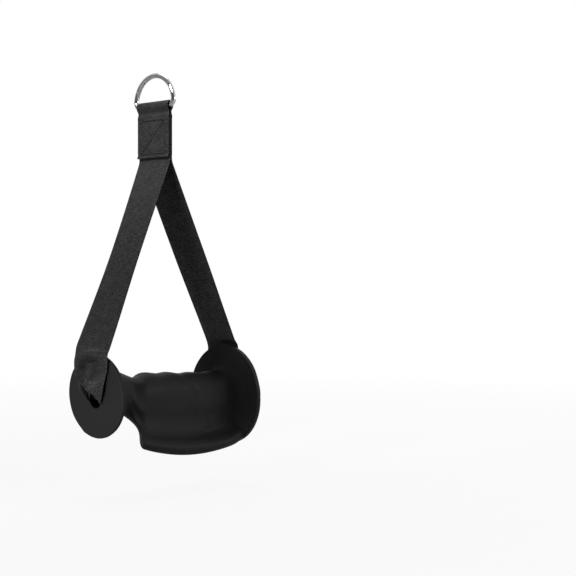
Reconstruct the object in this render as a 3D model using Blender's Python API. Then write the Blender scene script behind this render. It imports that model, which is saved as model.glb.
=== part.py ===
"""Single-hand cable handle: a moulded palm grip carried by one loop of webbing under a steel D-ring.

X runs along the grip from the end disc to the palm flange, -Y is the palm side and Z is up.
The origin is the inside top of the D-ring, where a carabiner hooks in.
"""

import math

import bmesh
import bpy
from mathutils import Matrix, Vector

MM = 0.001

# Clearances
SEAT_GAP = 0.3 * MM
LAYER_GAP = 0.3 * MM
THREAD_GAP = 0.3 * MM
BAR_CLEARANCE = 0.35 * MM
CORE_CLEARANCE = 0.5 * MM
RING_SIDE_ROOM = 2.8 * MM
DISC_STANDOFF = 1.0 * MM
FLANGE_STANDOFF = 0.4 * MM

# Webbing strap
STRAP_WIDTH = 38.0 * MM
STRAP_THICK = 1.3 * MM
FLAP_LENGTH = 44.5 * MM
MIDDLE_END_DROP = 8.0 * MM
LOOP_NECK = 6.5 * MM
SPLIT_DROP = 3.4 * MM
SPLIT_BEND = 12.0 * MM
RIM_BEND = 10.0 * MM
TURN_BEND = 12.0 * MM
HANG_LEAN = math.radians(11.5)
CURL_ROUND = 4.2 * MM
CURL_SEAM = 1.2 * MM
CURL_RISE = 2.0 * MM
GATHER_LENGTH = 52.0 * MM
GATHERED_SHARE = 0.85
LEFT_MIDDLE_TWIST = math.radians(-3.0)
LEFT_TWIST = math.radians(4.0)

# D-ring
RING_WIRE = 4.5 * MM
RING_EYE_HEIGHT = 22.3 * MM
RING_CORNER = 5.5 * MM

# Box stitch, one thread on each face of the three layers
THREAD_WIDTH = 0.8 * MM
THREAD_THICK = 0.5 * MM
STITCH_TOP_DROP = 12.0 * MM
STITCH_HEIGHT = 28.8 * MM
STITCH_EDGE = 4.0 * MM

# Core tube
CORE_WALL = 1.5 * MM
CORE_RECESS = 3.0 * MM

# Grip cover
GRIP_LENGTH = 148.8 * MM
DISC_FACE = 67.9 * MM
AXIS_DROP = 199.4 * MM
MOUTH_ROUND = 2.0 * MM

DISC_RADIUS = 35.0 * MM
DISC_FORWARD = 2.5 * MM
DISC_RISE = 1.7 * MM
DISC_EDGE = 3.3 * MM
DISC_ROUND = 1.5 * MM
DISC_FILLET = 16.0 * MM
DISC_TILT = math.radians(2.2)

FLANGE_HALF_WIDTH = 39.5 * MM
FLANGE_HALF_HEIGHT = 44.0 * MM
FLANGE_FORWARD = 7.5 * MM
FLANGE_SINK = 4.5 * MM
FLANGE_EDGE = 4.5 * MM
FLANGE_ROUND = 2.0 * MM
FLANGE_SWEEP = 27.0 * MM
FLANGE_TILT = math.radians(3.5)

FIRST_GROOVE = -25.0 * MM
FINGER_PITCH = 26.0 * MM
TOP_GROOVE_DEPTH = 0.6 * MM
BACK_GROOVE_DEPTH = 1.5 * MM
BACK_GROOVE_TURN = math.radians(285.0)
WAIST_WALL = 3.2 * MM
WAIST_HALF = 13.0 * MM
HIP_WALL = 6.8 * MM
HEEL_WALL = 4.4 * MM
NECK_SLOPE = 0.36

PAD_LEFT = -39.0 * MM
PAD_CORNER = 8.0 * MM
PAD_SLANT = 0.9
PAD_SLANT_DEPTH = 25.0 * MM
PAD_SLANT_LENGTH = 36.0 * MM
PAD_LOW_AT = 27.0 * MM
PAD_DROP = 53.3 * MM
PAD_SOLE_RADIUS = 205.0 * MM
LIP_REACH = 29.5 * MM

# Powers of the curves: the disc's fillet, the flange's sweep, the pad's left corner, the finger grooves
FILLET_POWER = 2.6
SWEEP_POWER = 2.2
CORNER_POWER = 4.0
END_POWER = 3.0
GROOVE_POWER = 3.0

# How finely the curves are divided
RING_SIDES = 14
RING_ARC_STEPS = 22
RING_CORNER_STEPS = 5
STRAP_STRIPS = 10
STATION_SPACING = 7.0 * MM
BEND_STEP = math.radians(12.0)
BORE_STEPS = 4
NECK_STEPS = 5
LOOP_STEPS = 10
POINTS_PER_KEY = 2
FLARE_STEPS = 7
BODY_STEPS = 16
SWEEP_STEPS = 10
SHARP_ANGLE = math.radians(40.0)

# Worked out from the sizes above
RING_MID_RADIUS = STRAP_WIDTH / 2 + RING_SIDE_ROOM + RING_WIRE / 2
RING_ARC_Z = RING_WIRE / 2 - RING_MID_RADIUS
BAR_Z = -(RING_EYE_HEIGHT + RING_WIRE / 2)
LOOP_RADIUS = RING_WIRE / 2 + BAR_CLEARANCE + STRAP_THICK / 2
LAYER_PITCH = STRAP_THICK + LAYER_GAP
SPLIT_Z = BAR_Z - FLAP_LENGTH - SPLIT_DROP
AXIS_Z = SPLIT_Z - AXIS_DROP
CURL_FLAT = (STRAP_WIDTH / 2 + CURL_SEAM - math.pi * CURL_ROUND) / 2
CORE_INNER = math.hypot(CURL_FLAT, CURL_RISE) + CURL_ROUND + STRAP_THICK / 2 + CORE_CLEARANCE
CORE_OUTER = CORE_INNER + CORE_WALL
COVER_BORE = CORE_OUTER + SEAT_GAP
DISC_X = -DISC_FACE
FLANGE_X = GRIP_LENGTH - DISC_FACE
DISC_BACK = DISC_X + DISC_EDGE
FLANGE_BACK = FLANGE_X - FLANGE_EDGE
BORE_PATH_Z = AXIS_Z + CURL_RISE - CURL_ROUND

# Key points of a cross-section run from the top over the palm side and round to the back.
# Where the section is round, each is a turn from the top in degrees.
TOP_TURNS = (0, 27, 54, 80)
PAD_TURNS = (100, 114, 128, 140, 152, 163, 174, 182, 190, 196, 203)
BACK_TURNS = (212, 240, 270, 300, 330)
ROUND_TURNS = TOP_TURNS + PAD_TURNS + BACK_TURNS
FLANGE_PAD_TURNS = (95, 106, 117, 128, 140, 151, 162, 172, 182, 191, 201)

# The pad's face, lip and back, as shares of the lip's reach and of the pad's drop
PAD_SHARES = (
    (0.580, 0.230), (0.565, 0.420), (0.586, 0.600), (0.690, 0.752), (0.862, 0.842),
    (1.000, 0.933),
    (0.880, 0.996), (0.600, 0.977), (0.360, 0.857), (0.235, 0.648), (0.120, 0.438),
)
# Cross-sections close to the pad's left end, as shares of its corner
CORNER_SHARES = (0.0, 0.01, 0.05, 0.15, 0.35, 0.65, 1.0)
# Turns of the rings round an edge, as shares of a quarter turn
EDGE_SHARES = (0.0, 0.5, 1.0)
MOUTH_SHARES = (0.0, 1 / 3, 2 / 3, 1.0)


def material(name, colour, roughness, metallic=0.0):
    made = bpy.data.materials.new(name)
    made.use_nodes = True
    shader = made.node_tree.nodes["Principled BSDF"]
    shader.inputs["Base Color"].default_value = (*colour, 1.0)
    shader.inputs["Roughness"].default_value = roughness
    shader.inputs["Metallic"].default_value = metallic
    made.diffuse_color = (*colour, 1.0)
    return made


def add_object(name, mesh_builder, finish, origin, parent=None):
    """A named object whose mesh is given in world places and kept relative to its origin."""
    mesh = bpy.data.meshes.new(name)
    mesh_builder.to_mesh(mesh)
    mesh_builder.free()
    mesh.transform(Matrix.Translation(-Vector(origin)))
    mesh.materials.append(finish)
    mesh.shade_smooth()
    mesh.set_sharp_from_angle(angle=SHARP_ANGLE)
    made = bpy.data.objects.new(name, mesh)
    bpy.context.scene.collection.objects.link(made)
    place_under(made, origin, parent)
    return made


def place_under(child, origin, parent):
    child.parent = parent
    held_at = parent["stands_at"] if parent else (0.0, 0.0, 0.0)
    child.location = Vector(origin) - Vector(held_at)


def add_pivot(name, origin, parent=None):
    pivot = bpy.data.objects.new(name, None)
    pivot["stands_at"] = list(origin)
    bpy.context.scene.collection.objects.link(pivot)
    place_under(pivot, origin, parent)
    return pivot


def bridge_rows(builder, rows, closed_rows, closed_ends):
    """Quads between rows of vertices.

    closed_rows joins each row's ends, closed_ends joins the last row to the first.
    """
    count = len(rows[0])
    pairs = list(zip(rows, rows[1:]))
    if closed_ends:
        pairs.append((rows[-1], rows[0]))
    for low, high in pairs:
        for i in range(count if closed_rows else count - 1):
            j = (i + 1) % count
            builder.faces.new((low[i], low[j], high[j], high[i]))


def face_outwards(builder):
    builder.normal_update()
    bmesh.ops.recalc_face_normals(builder, faces=builder.faces)


def smooth_step(share):
    share = min(1.0, max(0.0, share))
    return share * share * (3 - 2 * share)


def arc_points(centre, radius, start, end, steps):
    """Points in a plane on an arc, both ends included."""
    angles = [start + (end - start) * i / steps for i in range(steps + 1)]
    return [Vector((centre[0] + radius * math.cos(a), centre[1] + radius * math.sin(a))) for a in angles]


# D-ring


def ring_line():
    """The wire's centre line in the YZ plane, as a closed list of points."""
    corner_z = BAR_Z + RING_CORNER
    between = RING_MID_RADIUS - RING_CORNER
    lift = math.asin((corner_z - RING_ARC_Z) / between)
    corner_y = between * math.cos(lift)
    arc = arc_points((0, RING_ARC_Z), RING_MID_RADIUS, lift, math.pi - lift, RING_ARC_STEPS)
    left = arc_points((-corner_y, corner_z), RING_CORNER, math.pi - lift, 1.5 * math.pi, RING_CORNER_STEPS)
    right = [Vector((-point.x, point.y)) for point in left[::-1]]
    return arc + left[1:] + right[1:-1]


def build_ring(finish, parent):
    builder = bmesh.new()
    line = ring_line()
    rows = []
    for i, point in enumerate(line):
        ahead = (line[(i + 1) % len(line)] - line[i - 1]).normalized()
        side = Vector((-ahead.y, ahead.x))
        row = []
        for k in range(RING_SIDES):
            turn = 2 * math.pi * k / RING_SIDES
            out = RING_WIRE / 2 * math.cos(turn)
            place = (RING_WIRE / 2 * math.sin(turn), point.x + side.x * out, point.y + side.y * out)
            row.append(builder.verts.new(place))
        rows.append(row)
    bridge_rows(builder, rows, closed_rows=True, closed_ends=True)
    face_outwards(builder)
    return add_object("d_ring", builder, finish, (0, 0, 0), parent)


# Webbing strap


class Station:
    """One place along the strap: its centre in the XZ plane, how far it is gathered, and its twist."""

    def __init__(self, centre, gather=0.0, twist=0.0):
        self.centre = centre
        self.gather = gather
        self.twist = twist


def rounded_route(corners, bends, spacing):
    """Points along straight runs joined by round bends, one bend radius for each inner corner."""
    route = [corners[0]]
    for before, corner, after, bend in zip(corners, corners[1:], corners[2:], bends):
        arriving, leaving = (corner - before).normalized(), (after - corner).normalized()
        turn = math.copysign(arriving.angle(leaving), arriving.cross(leaving))
        reach = bend * math.tan(abs(turn) / 2)
        add_run(route, corner - arriving * reach, spacing)
        centre = route[-1] + Vector((-arriving.y, arriving.x)) * math.copysign(bend, turn)
        spoke = route[-1] - centre
        steps = max(2, round(abs(turn) / BEND_STEP))
        route += [centre + Matrix.Rotation(turn * i / steps, 2) @ spoke for i in range(1, steps + 1)]
    add_run(route, corners[-1], spacing)
    return route


def add_run(route, end, spacing):
    start = route[-1]
    steps = max(1, round((end - start).length / spacing))
    route += [start.lerp(end, i / steps) for i in range(1, steps + 1)]


def side_stations(side, layer_x, rim, twists):
    """Stations down one branch, from the stack's foot over the rim to the level run in the bore.

    The branch is twisted a little half-way and again at its foot, and it draws in past the rim.
    """
    middle_twist, foot_twist = twists
    split = Vector((layer_x, SPLIT_Z))
    foot = rim + Vector((side * math.tan(HANG_LEAN), -1)) * (rim.y - BORE_PATH_Z)
    inside = Vector((foot.x - side * 2 * TURN_BEND, BORE_PATH_Z))
    above = split + Vector((0, SPLIT_BEND))
    bends = (SPLIT_BEND, RIM_BEND, TURN_BEND)
    route = rounded_route([above, split, rim, foot, inside], bends, STATION_SPACING)
    runs = [0.0]
    for first, second in zip(route, route[1:]):
        runs.append(runs[-1] + (second - first).length)
    gather_from = runs[-1] - GATHER_LENGTH
    stations = []
    for place, run in zip(route, runs):
        free = min(1.0, run / gather_from)
        share = max(0.0, (run - gather_from) / GATHER_LENGTH)
        twist = middle_twist * math.sin(math.pi * free)
        twist += foot_twist * smooth_step(2 * free - 1) * (1 - smooth_step(share))
        stations.append(Station(place, smooth_step(share / GATHERED_SHARE), twist))
    return stations


def strap_stations():
    """The whole strap: middle layer, left branch, bore, right branch, back layer, loop and front flap."""
    half = STRAP_THICK / 2
    disc_top = DISC_RISE + DISC_RADIUS
    disc_top_x = DISC_X - math.tan(DISC_TILT) * disc_top
    disc_rim = Vector((disc_top_x - DISC_STANDOFF - half, AXIS_Z + disc_top))
    flange_rim = Vector((FLANGE_X + FLANGE_STANDOFF + half, AXIS_Z - FLANGE_SINK + FLANGE_HALF_HEIGHT))
    left = side_stations(-1, 0.0, disc_rim, (LEFT_MIDDLE_TWIST, LEFT_TWIST))
    right = side_stations(1, LAYER_PITCH, flange_rim, (0.0, -FLANGE_TILT))
    stations = [Station(Vector((0.0, BAR_Z - MIDDLE_END_DROP)))] + left
    for i in range(1, BORE_STEPS):
        stations.append(Station(left[-1].centre.lerp(right[-1].centre, i / BORE_STEPS), 1.0))
    return stations + right[::-1] + loop_stations()


def loop_stations():
    """From the back layer up over the ring's bar and down to the end of the front flap."""
    stations = []
    for i in range(NECK_STEPS):
        share = i / NECK_STEPS
        x = LAYER_PITCH + (LOOP_RADIUS - LAYER_PITCH) * smooth_step(share)
        stations.append(Station(Vector((x, BAR_Z - LOOP_NECK * (1 - share)))))
    stations += [Station(point) for point in arc_points((0, BAR_Z), LOOP_RADIUS, 0, math.pi, LOOP_STEPS)]
    for i in range(1, NECK_STEPS + 1):
        share = i / NECK_STEPS
        x = LOOP_RADIUS + (LAYER_PITCH - LOOP_RADIUS) * smooth_step(share)
        stations.append(Station(Vector((-x, BAR_Z - LOOP_NECK * share))))
    return stations + [Station(Vector((-LAYER_PITCH, BAR_Z - FLAP_LENGTH)))]


def curled_point(run):
    """(across, inward) of the gathered strap's middle line at a distance from its centre."""
    side = 1 if run >= 0 else -1
    run = abs(run)
    if run <= CURL_FLAT:
        return Vector((side * run, 0.0))
    turned = (run - CURL_FLAT) / CURL_ROUND
    if turned <= math.pi:
        across = CURL_FLAT + CURL_ROUND * math.sin(turned)
        return Vector((side * across, CURL_ROUND * (1 - math.cos(turned))))
    beyond = run - CURL_FLAT - math.pi * CURL_ROUND
    return Vector((side * (CURL_FLAT - beyond), 2 * CURL_ROUND))


def strap_section(gather):
    """Middle-line points (across, inward) over the strap's width, from -Y to +Y."""
    points = []
    for i in range(STRAP_STRIPS + 1):
        run = STRAP_WIDTH * (i / STRAP_STRIPS - 0.5)
        points.append(Vector((run, 0.0)).lerp(curled_point(run), gather))
    return points


def section_rim(points):
    """The closed outline of the section, one side out and the other back, half the thickness each way."""
    out, back = [], []
    last = len(points) - 1
    for i, point in enumerate(points):
        along = points[min(i + 1, last)] - points[max(i - 1, 0)]
        normal = Vector((-along.y, along.x)).normalized() * STRAP_THICK / 2
        out.append(point - normal)
        back.append(point + normal)
    return out + back[::-1]


def build_strap(finish, origin, parent):
    builder = bmesh.new()
    stations = strap_stations()
    last = len(stations) - 1
    rows = []
    for i, station in enumerate(stations):
        ahead = (stations[min(i + 1, last)].centre - stations[max(i - 1, 0)].centre).normalized()
        outward = Vector((ahead.y, 0, -ahead.x))
        across = Vector((0, 1, 0))
        turn = Matrix.Rotation(-station.twist, 3, Vector((ahead.x, 0, ahead.y)))
        centre = Vector((station.centre.x, 0, station.centre.y))
        rim = section_rim(strap_section(station.gather))
        rows.append([builder.verts.new(centre + turn @ (across * p.x - outward * p.y)) for p in rim])
    bridge_rows(builder, rows, closed_rows=True, closed_ends=False)
    half = len(rows[0]) // 2
    for row in (rows[0], rows[-1]):
        for i in range(half - 1):
            builder.faces.new((row[i], row[i + 1], row[-2 - i], row[-1 - i]))
    face_outwards(builder)
    return add_object("webbing_strap", builder, finish, origin, parent)


# Box stitch


def build_thread(name, side, finish, origin, parent):
    """A box with a cross, sewn on one face of the stack."""
    face_x = side * (1.5 * LAYER_PITCH - LAYER_GAP / 2 + THREAD_GAP)
    half_width = STRAP_WIDTH / 2 - STITCH_EDGE
    top = BAR_Z - STITCH_TOP_DROP
    foot = top - STITCH_HEIGHT
    middle = (top + foot) / 2
    builder = bmesh.new()
    wide = THREAD_WIDTH / 2
    lean = math.atan2(STITCH_HEIGHT, 2 * half_width)
    outer = [(-half_width - wide, foot - wide), (half_width + wide, foot - wide),
             (half_width + wide, top + wide), (-half_width - wide, top + wide)]
    inside_y = half_width - wide
    inside_z = STITCH_HEIGHT / 2 - wide
    along_y = wide / math.sin(lean)
    along_z = wide / math.cos(lean)
    slope = STITCH_HEIGHT / (2 * half_width)
    low_y = inside_z / slope - along_y
    side_z = inside_y * slope - along_z
    holes = [
        [(-low_y, middle - inside_z), (low_y, middle - inside_z), (0.0, middle - along_z)],
        [(inside_y, middle - side_z), (inside_y, middle + side_z), (along_y, middle)],
        [(low_y, middle + inside_z), (-low_y, middle + inside_z), (0.0, middle + along_z)],
        [(-inside_y, middle + side_z), (-inside_y, middle - side_z), (-along_y, middle)],
    ]
    front = {}

    def corner(point, layer):
        key = (round(point[0], 7), round(point[1], 7), layer)
        if key not in front:
            front[key] = builder.verts.new((face_x + side * THREAD_THICK * layer, point[0], point[1]))
        return front[key]

    bars = [
        (outer[0], outer[1], holes[0][1], holes[0][0]),
        (outer[1], outer[2], holes[1][1], holes[1][0]),
        (outer[2], outer[3], holes[2][1], holes[2][0]),
        (outer[3], outer[0], holes[3][1], holes[3][0]),
        (outer[0], holes[0][0], holes[3][1]),
        (outer[1], holes[1][0], holes[0][1]),
        (outer[2], holes[2][0], holes[1][1]),
        (outer[3], holes[3][0], holes[2][1]),
        (holes[0][0], holes[0][2], holes[3][2], holes[3][1]),
        (holes[1][0], holes[1][2], holes[0][2], holes[0][1]),
        (holes[2][0], holes[2][2], holes[1][2], holes[1][1]),
        (holes[3][0], holes[3][2], holes[2][2], holes[2][1]),
        (holes[0][2], holes[1][2], holes[2][2], holes[3][2]),
    ]
    for layer in (0, 1):
        for bar in bars:
            builder.faces.new([corner(p, layer) for p in bar])
    for ring in [outer] + holes:
        for a, b in zip(ring, ring[1:] + ring[:1]):
            builder.faces.new((corner(a, 0), corner(b, 0), corner(b, 1), corner(a, 1)))
    face_outwards(builder)
    return add_object(name, builder, finish, origin, parent)


# Core tube


def build_core(finish, origin, parent):
    builder = bmesh.new()
    start, end = DISC_X + CORE_RECESS, FLANGE_X - CORE_RECESS
    sides = len(ROUND_TURNS) * POINTS_PER_KEY
    rows = []
    for x, radius in ((start, CORE_INNER), (start, CORE_OUTER), (end, CORE_OUTER), (end, CORE_INNER)):
        row = []
        for k in range(sides):
            turn = 2 * math.pi * k / sides
            row.append(builder.verts.new((x, -radius * math.sin(turn), AXIS_Z + radius * math.cos(turn))))
        rows.append(row)
    bridge_rows(builder, rows, closed_rows=True, closed_ends=True)
    face_outwards(builder)
    return add_object("core_tube", builder, finish, origin, parent)


# Grip cover


def tube_wall(x):
    """Wall of the grip's round part over the bore, before the finger grooves."""
    if x < FIRST_GROOVE:
        return WAIST_WALL + NECK_SLOPE * (FIRST_GROOVE - x)
    heel_x = FLANGE_X - FLANGE_SWEEP
    hip_x = FIRST_GROOVE + WAIST_HALF
    if x <= hip_x:
        return WAIST_WALL + (HIP_WALL - WAIST_WALL) * smooth_step((x - FIRST_GROOVE) / WAIST_HALF)
    return HIP_WALL + (HEEL_WALL - HIP_WALL) * smooth_step((x - hip_x) / (heel_x - hip_x))


def groove(x, turn):
    """Depth of the finger grooves, deepest at the back and none on the palm side."""
    phase = math.cos(2 * math.pi * (x - FIRST_GROOVE) / FINGER_PITCH)
    back = (0.5 + 0.5 * math.cos(turn - BACK_GROOVE_TURN)) ** GROOVE_POWER
    top = max(0.0, math.cos(turn))
    fade = smooth_step((x - FIRST_GROOVE) / WAIST_HALF)
    return phase * fade * (BACK_GROOVE_DEPTH * back + TOP_GROOVE_DEPTH * top * (1 - back))


def round_point(radius_y, radius_z, turn, forward=0.0, rise=0.0):
    return Vector((-forward - radius_y * math.sin(turn), rise + radius_z * math.cos(turn)))


def pad_drop(x):
    """How far the pad's sole lies below the bore's axis; the sole follows one long arc."""
    across = x - PAD_LOW_AT
    return PAD_DROP - (PAD_SOLE_RADIUS - math.sqrt(PAD_SOLE_RADIUS ** 2 - across ** 2))


def pad_edge(x):
    """0 right of the pad's left corner, rising to 1 at its very end."""
    return min(1.0, max(0.0, (PAD_LEFT + PAD_CORNER - x) / PAD_CORNER))


def pad_points(x):
    """Key points of the pad's face, lip and back; at its left end the two sides draw together."""
    drop = pad_drop(x)
    fullness = (1 - pad_edge(x) ** END_POWER) ** (1 / END_POWER)
    points = [Vector((-LIP_REACH * reach, -drop * down)) for reach, down in PAD_SHARES]
    return [point.lerp((point + facing) / 2, 1 - fullness) for point, facing in zip(points, points[::-1])]


def round_points(radius_y, radius_z, turns, forward=0.0, rise=0.0):
    return [round_point(radius_y, radius_z, math.radians(t), forward, rise) for t in turns]


def blend(first, second, share):
    return [a.lerp(b, share) for a, b in zip(first, second)]


def grip_keys(x):
    """Key points of the grip's cross-section at x, as (y, height over the axis)."""
    keys = []
    for turn in map(math.radians, ROUND_TURNS):
        radius = COVER_BORE + tube_wall(x) - groove(x, turn)
        keys.append(round_point(radius, radius, turn))
    if x > PAD_LEFT:
        first = len(TOP_TURNS)
        last = first + len(PAD_TURNS)
        keys[first:last] = blend(keys[first:last], pad_points(x), pad_fullness(x))
    if x < DISC_BACK + DISC_FILLET:
        flare = min(1.0, (DISC_BACK + DISC_FILLET - x) / DISC_FILLET) ** FILLET_POWER
        disc = round_points(DISC_RADIUS, DISC_RADIUS, ROUND_TURNS, DISC_FORWARD, DISC_RISE)
        keys = blend(keys, disc, flare)
    flange = round_points(
        FLANGE_HALF_WIDTH, FLANGE_HALF_HEIGHT, TOP_TURNS + FLANGE_PAD_TURNS + BACK_TURNS,
        FLANGE_FORWARD, -FLANGE_SINK,
    )
    return blend(keys, flange, 1 - math.sqrt(1 - sweep_share(x) ** SWEEP_POWER))


def pad_fullness(x):
    return (1 - pad_edge(x) ** CORNER_POWER) ** (1 / CORNER_POWER) if x > PAD_LEFT else 0.0


def sweep_share(x):
    """0 before the flange's sweep, 1 at the flange's back."""
    return min(1.0, max(0.0, 1 - (FLANGE_BACK - x) / (FLANGE_SWEEP - FLANGE_EDGE)))


def placed(x, points):
    """Points of a cross-section in space: disc and flange are tilted, the pad's left end is slanted."""
    flange_tilt = math.tan(FLANGE_TILT) * smooth_step(sweep_share(x))
    disc_tilt = math.tan(DISC_TILT) * smooth_step((DISC_BACK + DISC_FILLET - x) / DISC_FILLET)
    slant = PAD_SLANT * pad_fullness(x) * (1 - smooth_step((x - PAD_LEFT) / PAD_SLANT_LENGTH))
    places = []
    for point in points:
        behind = min(PAD_SLANT_DEPTH, max(0.0, PAD_SLANT_DEPTH + point.x))
        below = smooth_step(-point.y / PAD_SLANT_DEPTH)
        shift = slant * behind * below - flange_tilt * point.x - disc_tilt * point.y
        places.append(Vector((x + shift, point.x, AXIS_Z + point.y)))
    return places


def closed_curve(keys):
    """A smooth closed curve through the key points."""
    points = []
    count = len(keys)
    for i in range(count):
        a, b, c, d = (keys[(i + k) % count] for k in (-1, 0, 1, 2))
        linear, square, cube = c - a, 2 * a - 5 * b + 4 * c - d, 3 * b - a - 3 * c + d
        for step in range(POINTS_PER_KEY):
            t = step / POINTS_PER_KEY
            points.append((2 * b + linear * t + square * t * t + cube * t ** 3) / 2)
    return points


def drawn_in(points, centre, inset):
    return [centre + (p - centre) * (1 - inset / (p - centre).length) for p in points]


def rim_rings(face_x, back_x, round_off, centre):
    """Rings round the rounded edge between a face and the outside, the face's own ring first."""
    rings = []
    points = closed_curve(grip_keys(back_x))
    inward = math.copysign(round_off, back_x - face_x)
    for angle in [math.pi / 2 * share for share in EDGE_SHARES]:
        inset = round_off * (1 - math.sin(angle))
        rings.append((face_x + inward * (1 - math.cos(angle)), drawn_in(points, centre, inset)))
    return rings


def mouth_rings(face_x, back_x):
    """Rings of the bore's rounded mouth, the bore's own ring first."""
    rings = []
    inward = math.copysign(MOUTH_ROUND, back_x - face_x)
    for angle in [math.pi / 2 * share for share in MOUTH_SHARES]:
        radius = COVER_BORE + MOUTH_ROUND * (1 - math.cos(angle))
        points = closed_curve(round_points(radius, radius, ROUND_TURNS))
        rings.append((face_x + inward * (1 - math.sin(angle)), points))
    return rings


def grip_rings():
    """(x, points) of every ring of the cover, from the disc's mouth round to the flange's mouth."""
    disc_rim = rim_rings(DISC_X, DISC_BACK, DISC_ROUND, Vector((-DISC_FORWARD, DISC_RISE)))
    flange_rim = rim_rings(FLANGE_X, FLANGE_BACK, FLANGE_ROUND, Vector((-FLANGE_FORWARD, -FLANGE_SINK)))
    outside = [(x, closed_curve(grip_keys(x))) for x in outside_stations()]
    flange_mouth = mouth_rings(FLANGE_X, FLANGE_BACK)
    return mouth_rings(DISC_X, DISC_BACK) + disc_rim + outside + flange_rim[::-1] + flange_mouth[::-1]


def outside_stations():
    """Places along the grip, close together where its form changes quickly."""
    flare = [DISC_BACK + (PAD_LEFT - DISC_BACK) * i / FLARE_STEPS for i in range(FLARE_STEPS)]
    corner = [PAD_LEFT + PAD_CORNER * share for share in CORNER_SHARES]
    sweep_from = FLANGE_X - FLANGE_SWEEP
    body = [corner[-1] + (sweep_from - corner[-1]) * i / BODY_STEPS for i in range(1, BODY_STEPS + 1)]
    quarter = [math.sin(math.pi / 2 * i / SWEEP_STEPS) for i in range(1, SWEEP_STEPS + 1)]
    return flare + corner + body + [sweep_from + (FLANGE_BACK - sweep_from) * share for share in quarter]


def build_cover(finish, origin, parent):
    builder = bmesh.new()
    rows = [[builder.verts.new(place) for place in placed(x, points)] for x, points in grip_rings()]
    bridge_rows(builder, rows, closed_rows=True, closed_ends=True)
    face_outwards(builder)
    return add_object("grip_cover", builder, finish, origin, parent)


def clear_scene():
    for old in list(bpy.data.objects):
        bpy.data.objects.remove(old, do_unlink=True)


def main():
    clear_scene()
    chrome = material("chrome", (0.80, 0.80, 0.80), 0.12, 1.0)
    nylon = material("black_webbing", (0.030, 0.030, 0.032), 0.75)
    thread = material("black_thread", (0.020, 0.020, 0.022), 0.60)
    rubber = material("black_rubber", (0.022, 0.022, 0.023), 0.55)
    plastic = material("core_plastic", (0.050, 0.050, 0.050), 0.50)

    bar_place = (0.0, 0.0, BAR_Z)
    axis_place = (0.0, 0.0, AXIS_Z)
    ring_pivot = add_pivot("ring_pivot", (0.0, 0.0, 0.0))
    strap_pivot = add_pivot("strap_pivot", bar_place, ring_pivot)
    grip_pivot = add_pivot("grip_pivot", axis_place, strap_pivot)

    build_ring(chrome, ring_pivot)
    build_strap(nylon, bar_place, strap_pivot)
    build_thread("needle_thread", -1, thread, bar_place, strap_pivot)
    build_thread("bobbin_thread", 1, thread, bar_place, strap_pivot)
    build_core(plastic, axis_place, grip_pivot)
    build_cover(rubber, axis_place, grip_pivot)


if __name__ == "__main__":
    main()
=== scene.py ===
"""Cable handle: every visible piece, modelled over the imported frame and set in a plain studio."""

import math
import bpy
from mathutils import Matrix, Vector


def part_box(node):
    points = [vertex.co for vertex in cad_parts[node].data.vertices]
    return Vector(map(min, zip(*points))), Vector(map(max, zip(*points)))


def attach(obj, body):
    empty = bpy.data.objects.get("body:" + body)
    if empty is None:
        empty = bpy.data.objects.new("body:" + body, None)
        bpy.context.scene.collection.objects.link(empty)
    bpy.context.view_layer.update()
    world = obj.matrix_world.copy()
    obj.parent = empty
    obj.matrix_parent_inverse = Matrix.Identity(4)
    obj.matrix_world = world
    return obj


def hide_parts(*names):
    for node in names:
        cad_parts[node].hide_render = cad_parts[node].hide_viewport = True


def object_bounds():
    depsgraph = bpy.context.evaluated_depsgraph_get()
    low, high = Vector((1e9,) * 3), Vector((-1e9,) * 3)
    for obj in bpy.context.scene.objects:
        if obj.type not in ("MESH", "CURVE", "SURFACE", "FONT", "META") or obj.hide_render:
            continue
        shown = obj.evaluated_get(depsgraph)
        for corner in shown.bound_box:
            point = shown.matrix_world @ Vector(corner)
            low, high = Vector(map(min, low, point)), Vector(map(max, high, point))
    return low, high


bl_info = {
    "name": "Cable Handle",
    "version": (1, 0, 0),
    "blender": (4, 5, 0),
    "location": "3D View > Sidebar > Handle",
    "description": "Models a gym cable handle: D-ring, webbing, stitching and moulded palm grip",
    "category": "Add Mesh",
}

import bpy
from bpy.props import FloatProperty, FloatVectorProperty, PointerProperty
from mathutils import Matrix, Vector

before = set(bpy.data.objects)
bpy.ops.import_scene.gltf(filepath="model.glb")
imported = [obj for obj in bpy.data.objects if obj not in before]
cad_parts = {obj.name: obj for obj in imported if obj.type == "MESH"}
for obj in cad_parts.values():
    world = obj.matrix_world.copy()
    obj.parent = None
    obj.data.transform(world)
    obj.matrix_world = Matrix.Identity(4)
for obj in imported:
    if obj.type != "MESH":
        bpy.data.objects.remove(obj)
cad_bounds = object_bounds()

MM = 0.001
# Corners closer than this are one, and edges sharper than this angle stay sharp in the shading
MERGE_DISTANCE, SMOOTH_ANGLE = 0.002 * MM, math.radians(45)
RING_LOW, RING_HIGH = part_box("d_ring")

# Columns over the strap's width in the nets below, and strips between them in the mesh
NET_COLUMNS = 11
STRIPS_PER_COLUMN = 3
# Spacing of the webbing's warp ends and of its weft
WARP_PITCH, WEFT_PITCH = 1.15 * MM, 2.1 * MM
# What the smoothing takes off each edge of the strap
EDGE_EASE = 0.7 * MM
# Room between the bar and the webbing, and between two layers of the stack
BAR_ROOM, LAYER_GAP = 0.35 * MM, 0.3 * MM
# Tilts of the two end faces
DISC_TILT, FLANGE_TILT = math.radians(2.2), math.radians(3.5)
# Radius of the bend where the branches part, and what is left of each branch above the rim for the funnel
SPLIT_BEND, FUNNEL_ROOM = 12 * MM, 5 * MM
# Where the middle of each branch meets the rim: out from the end face, and up from the bore's axis
LEFT_RIM, RIGHT_RIM = (3.06 * MM, 36.7 * MM), (1.05 * MM, 39.5 * MM)
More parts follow.
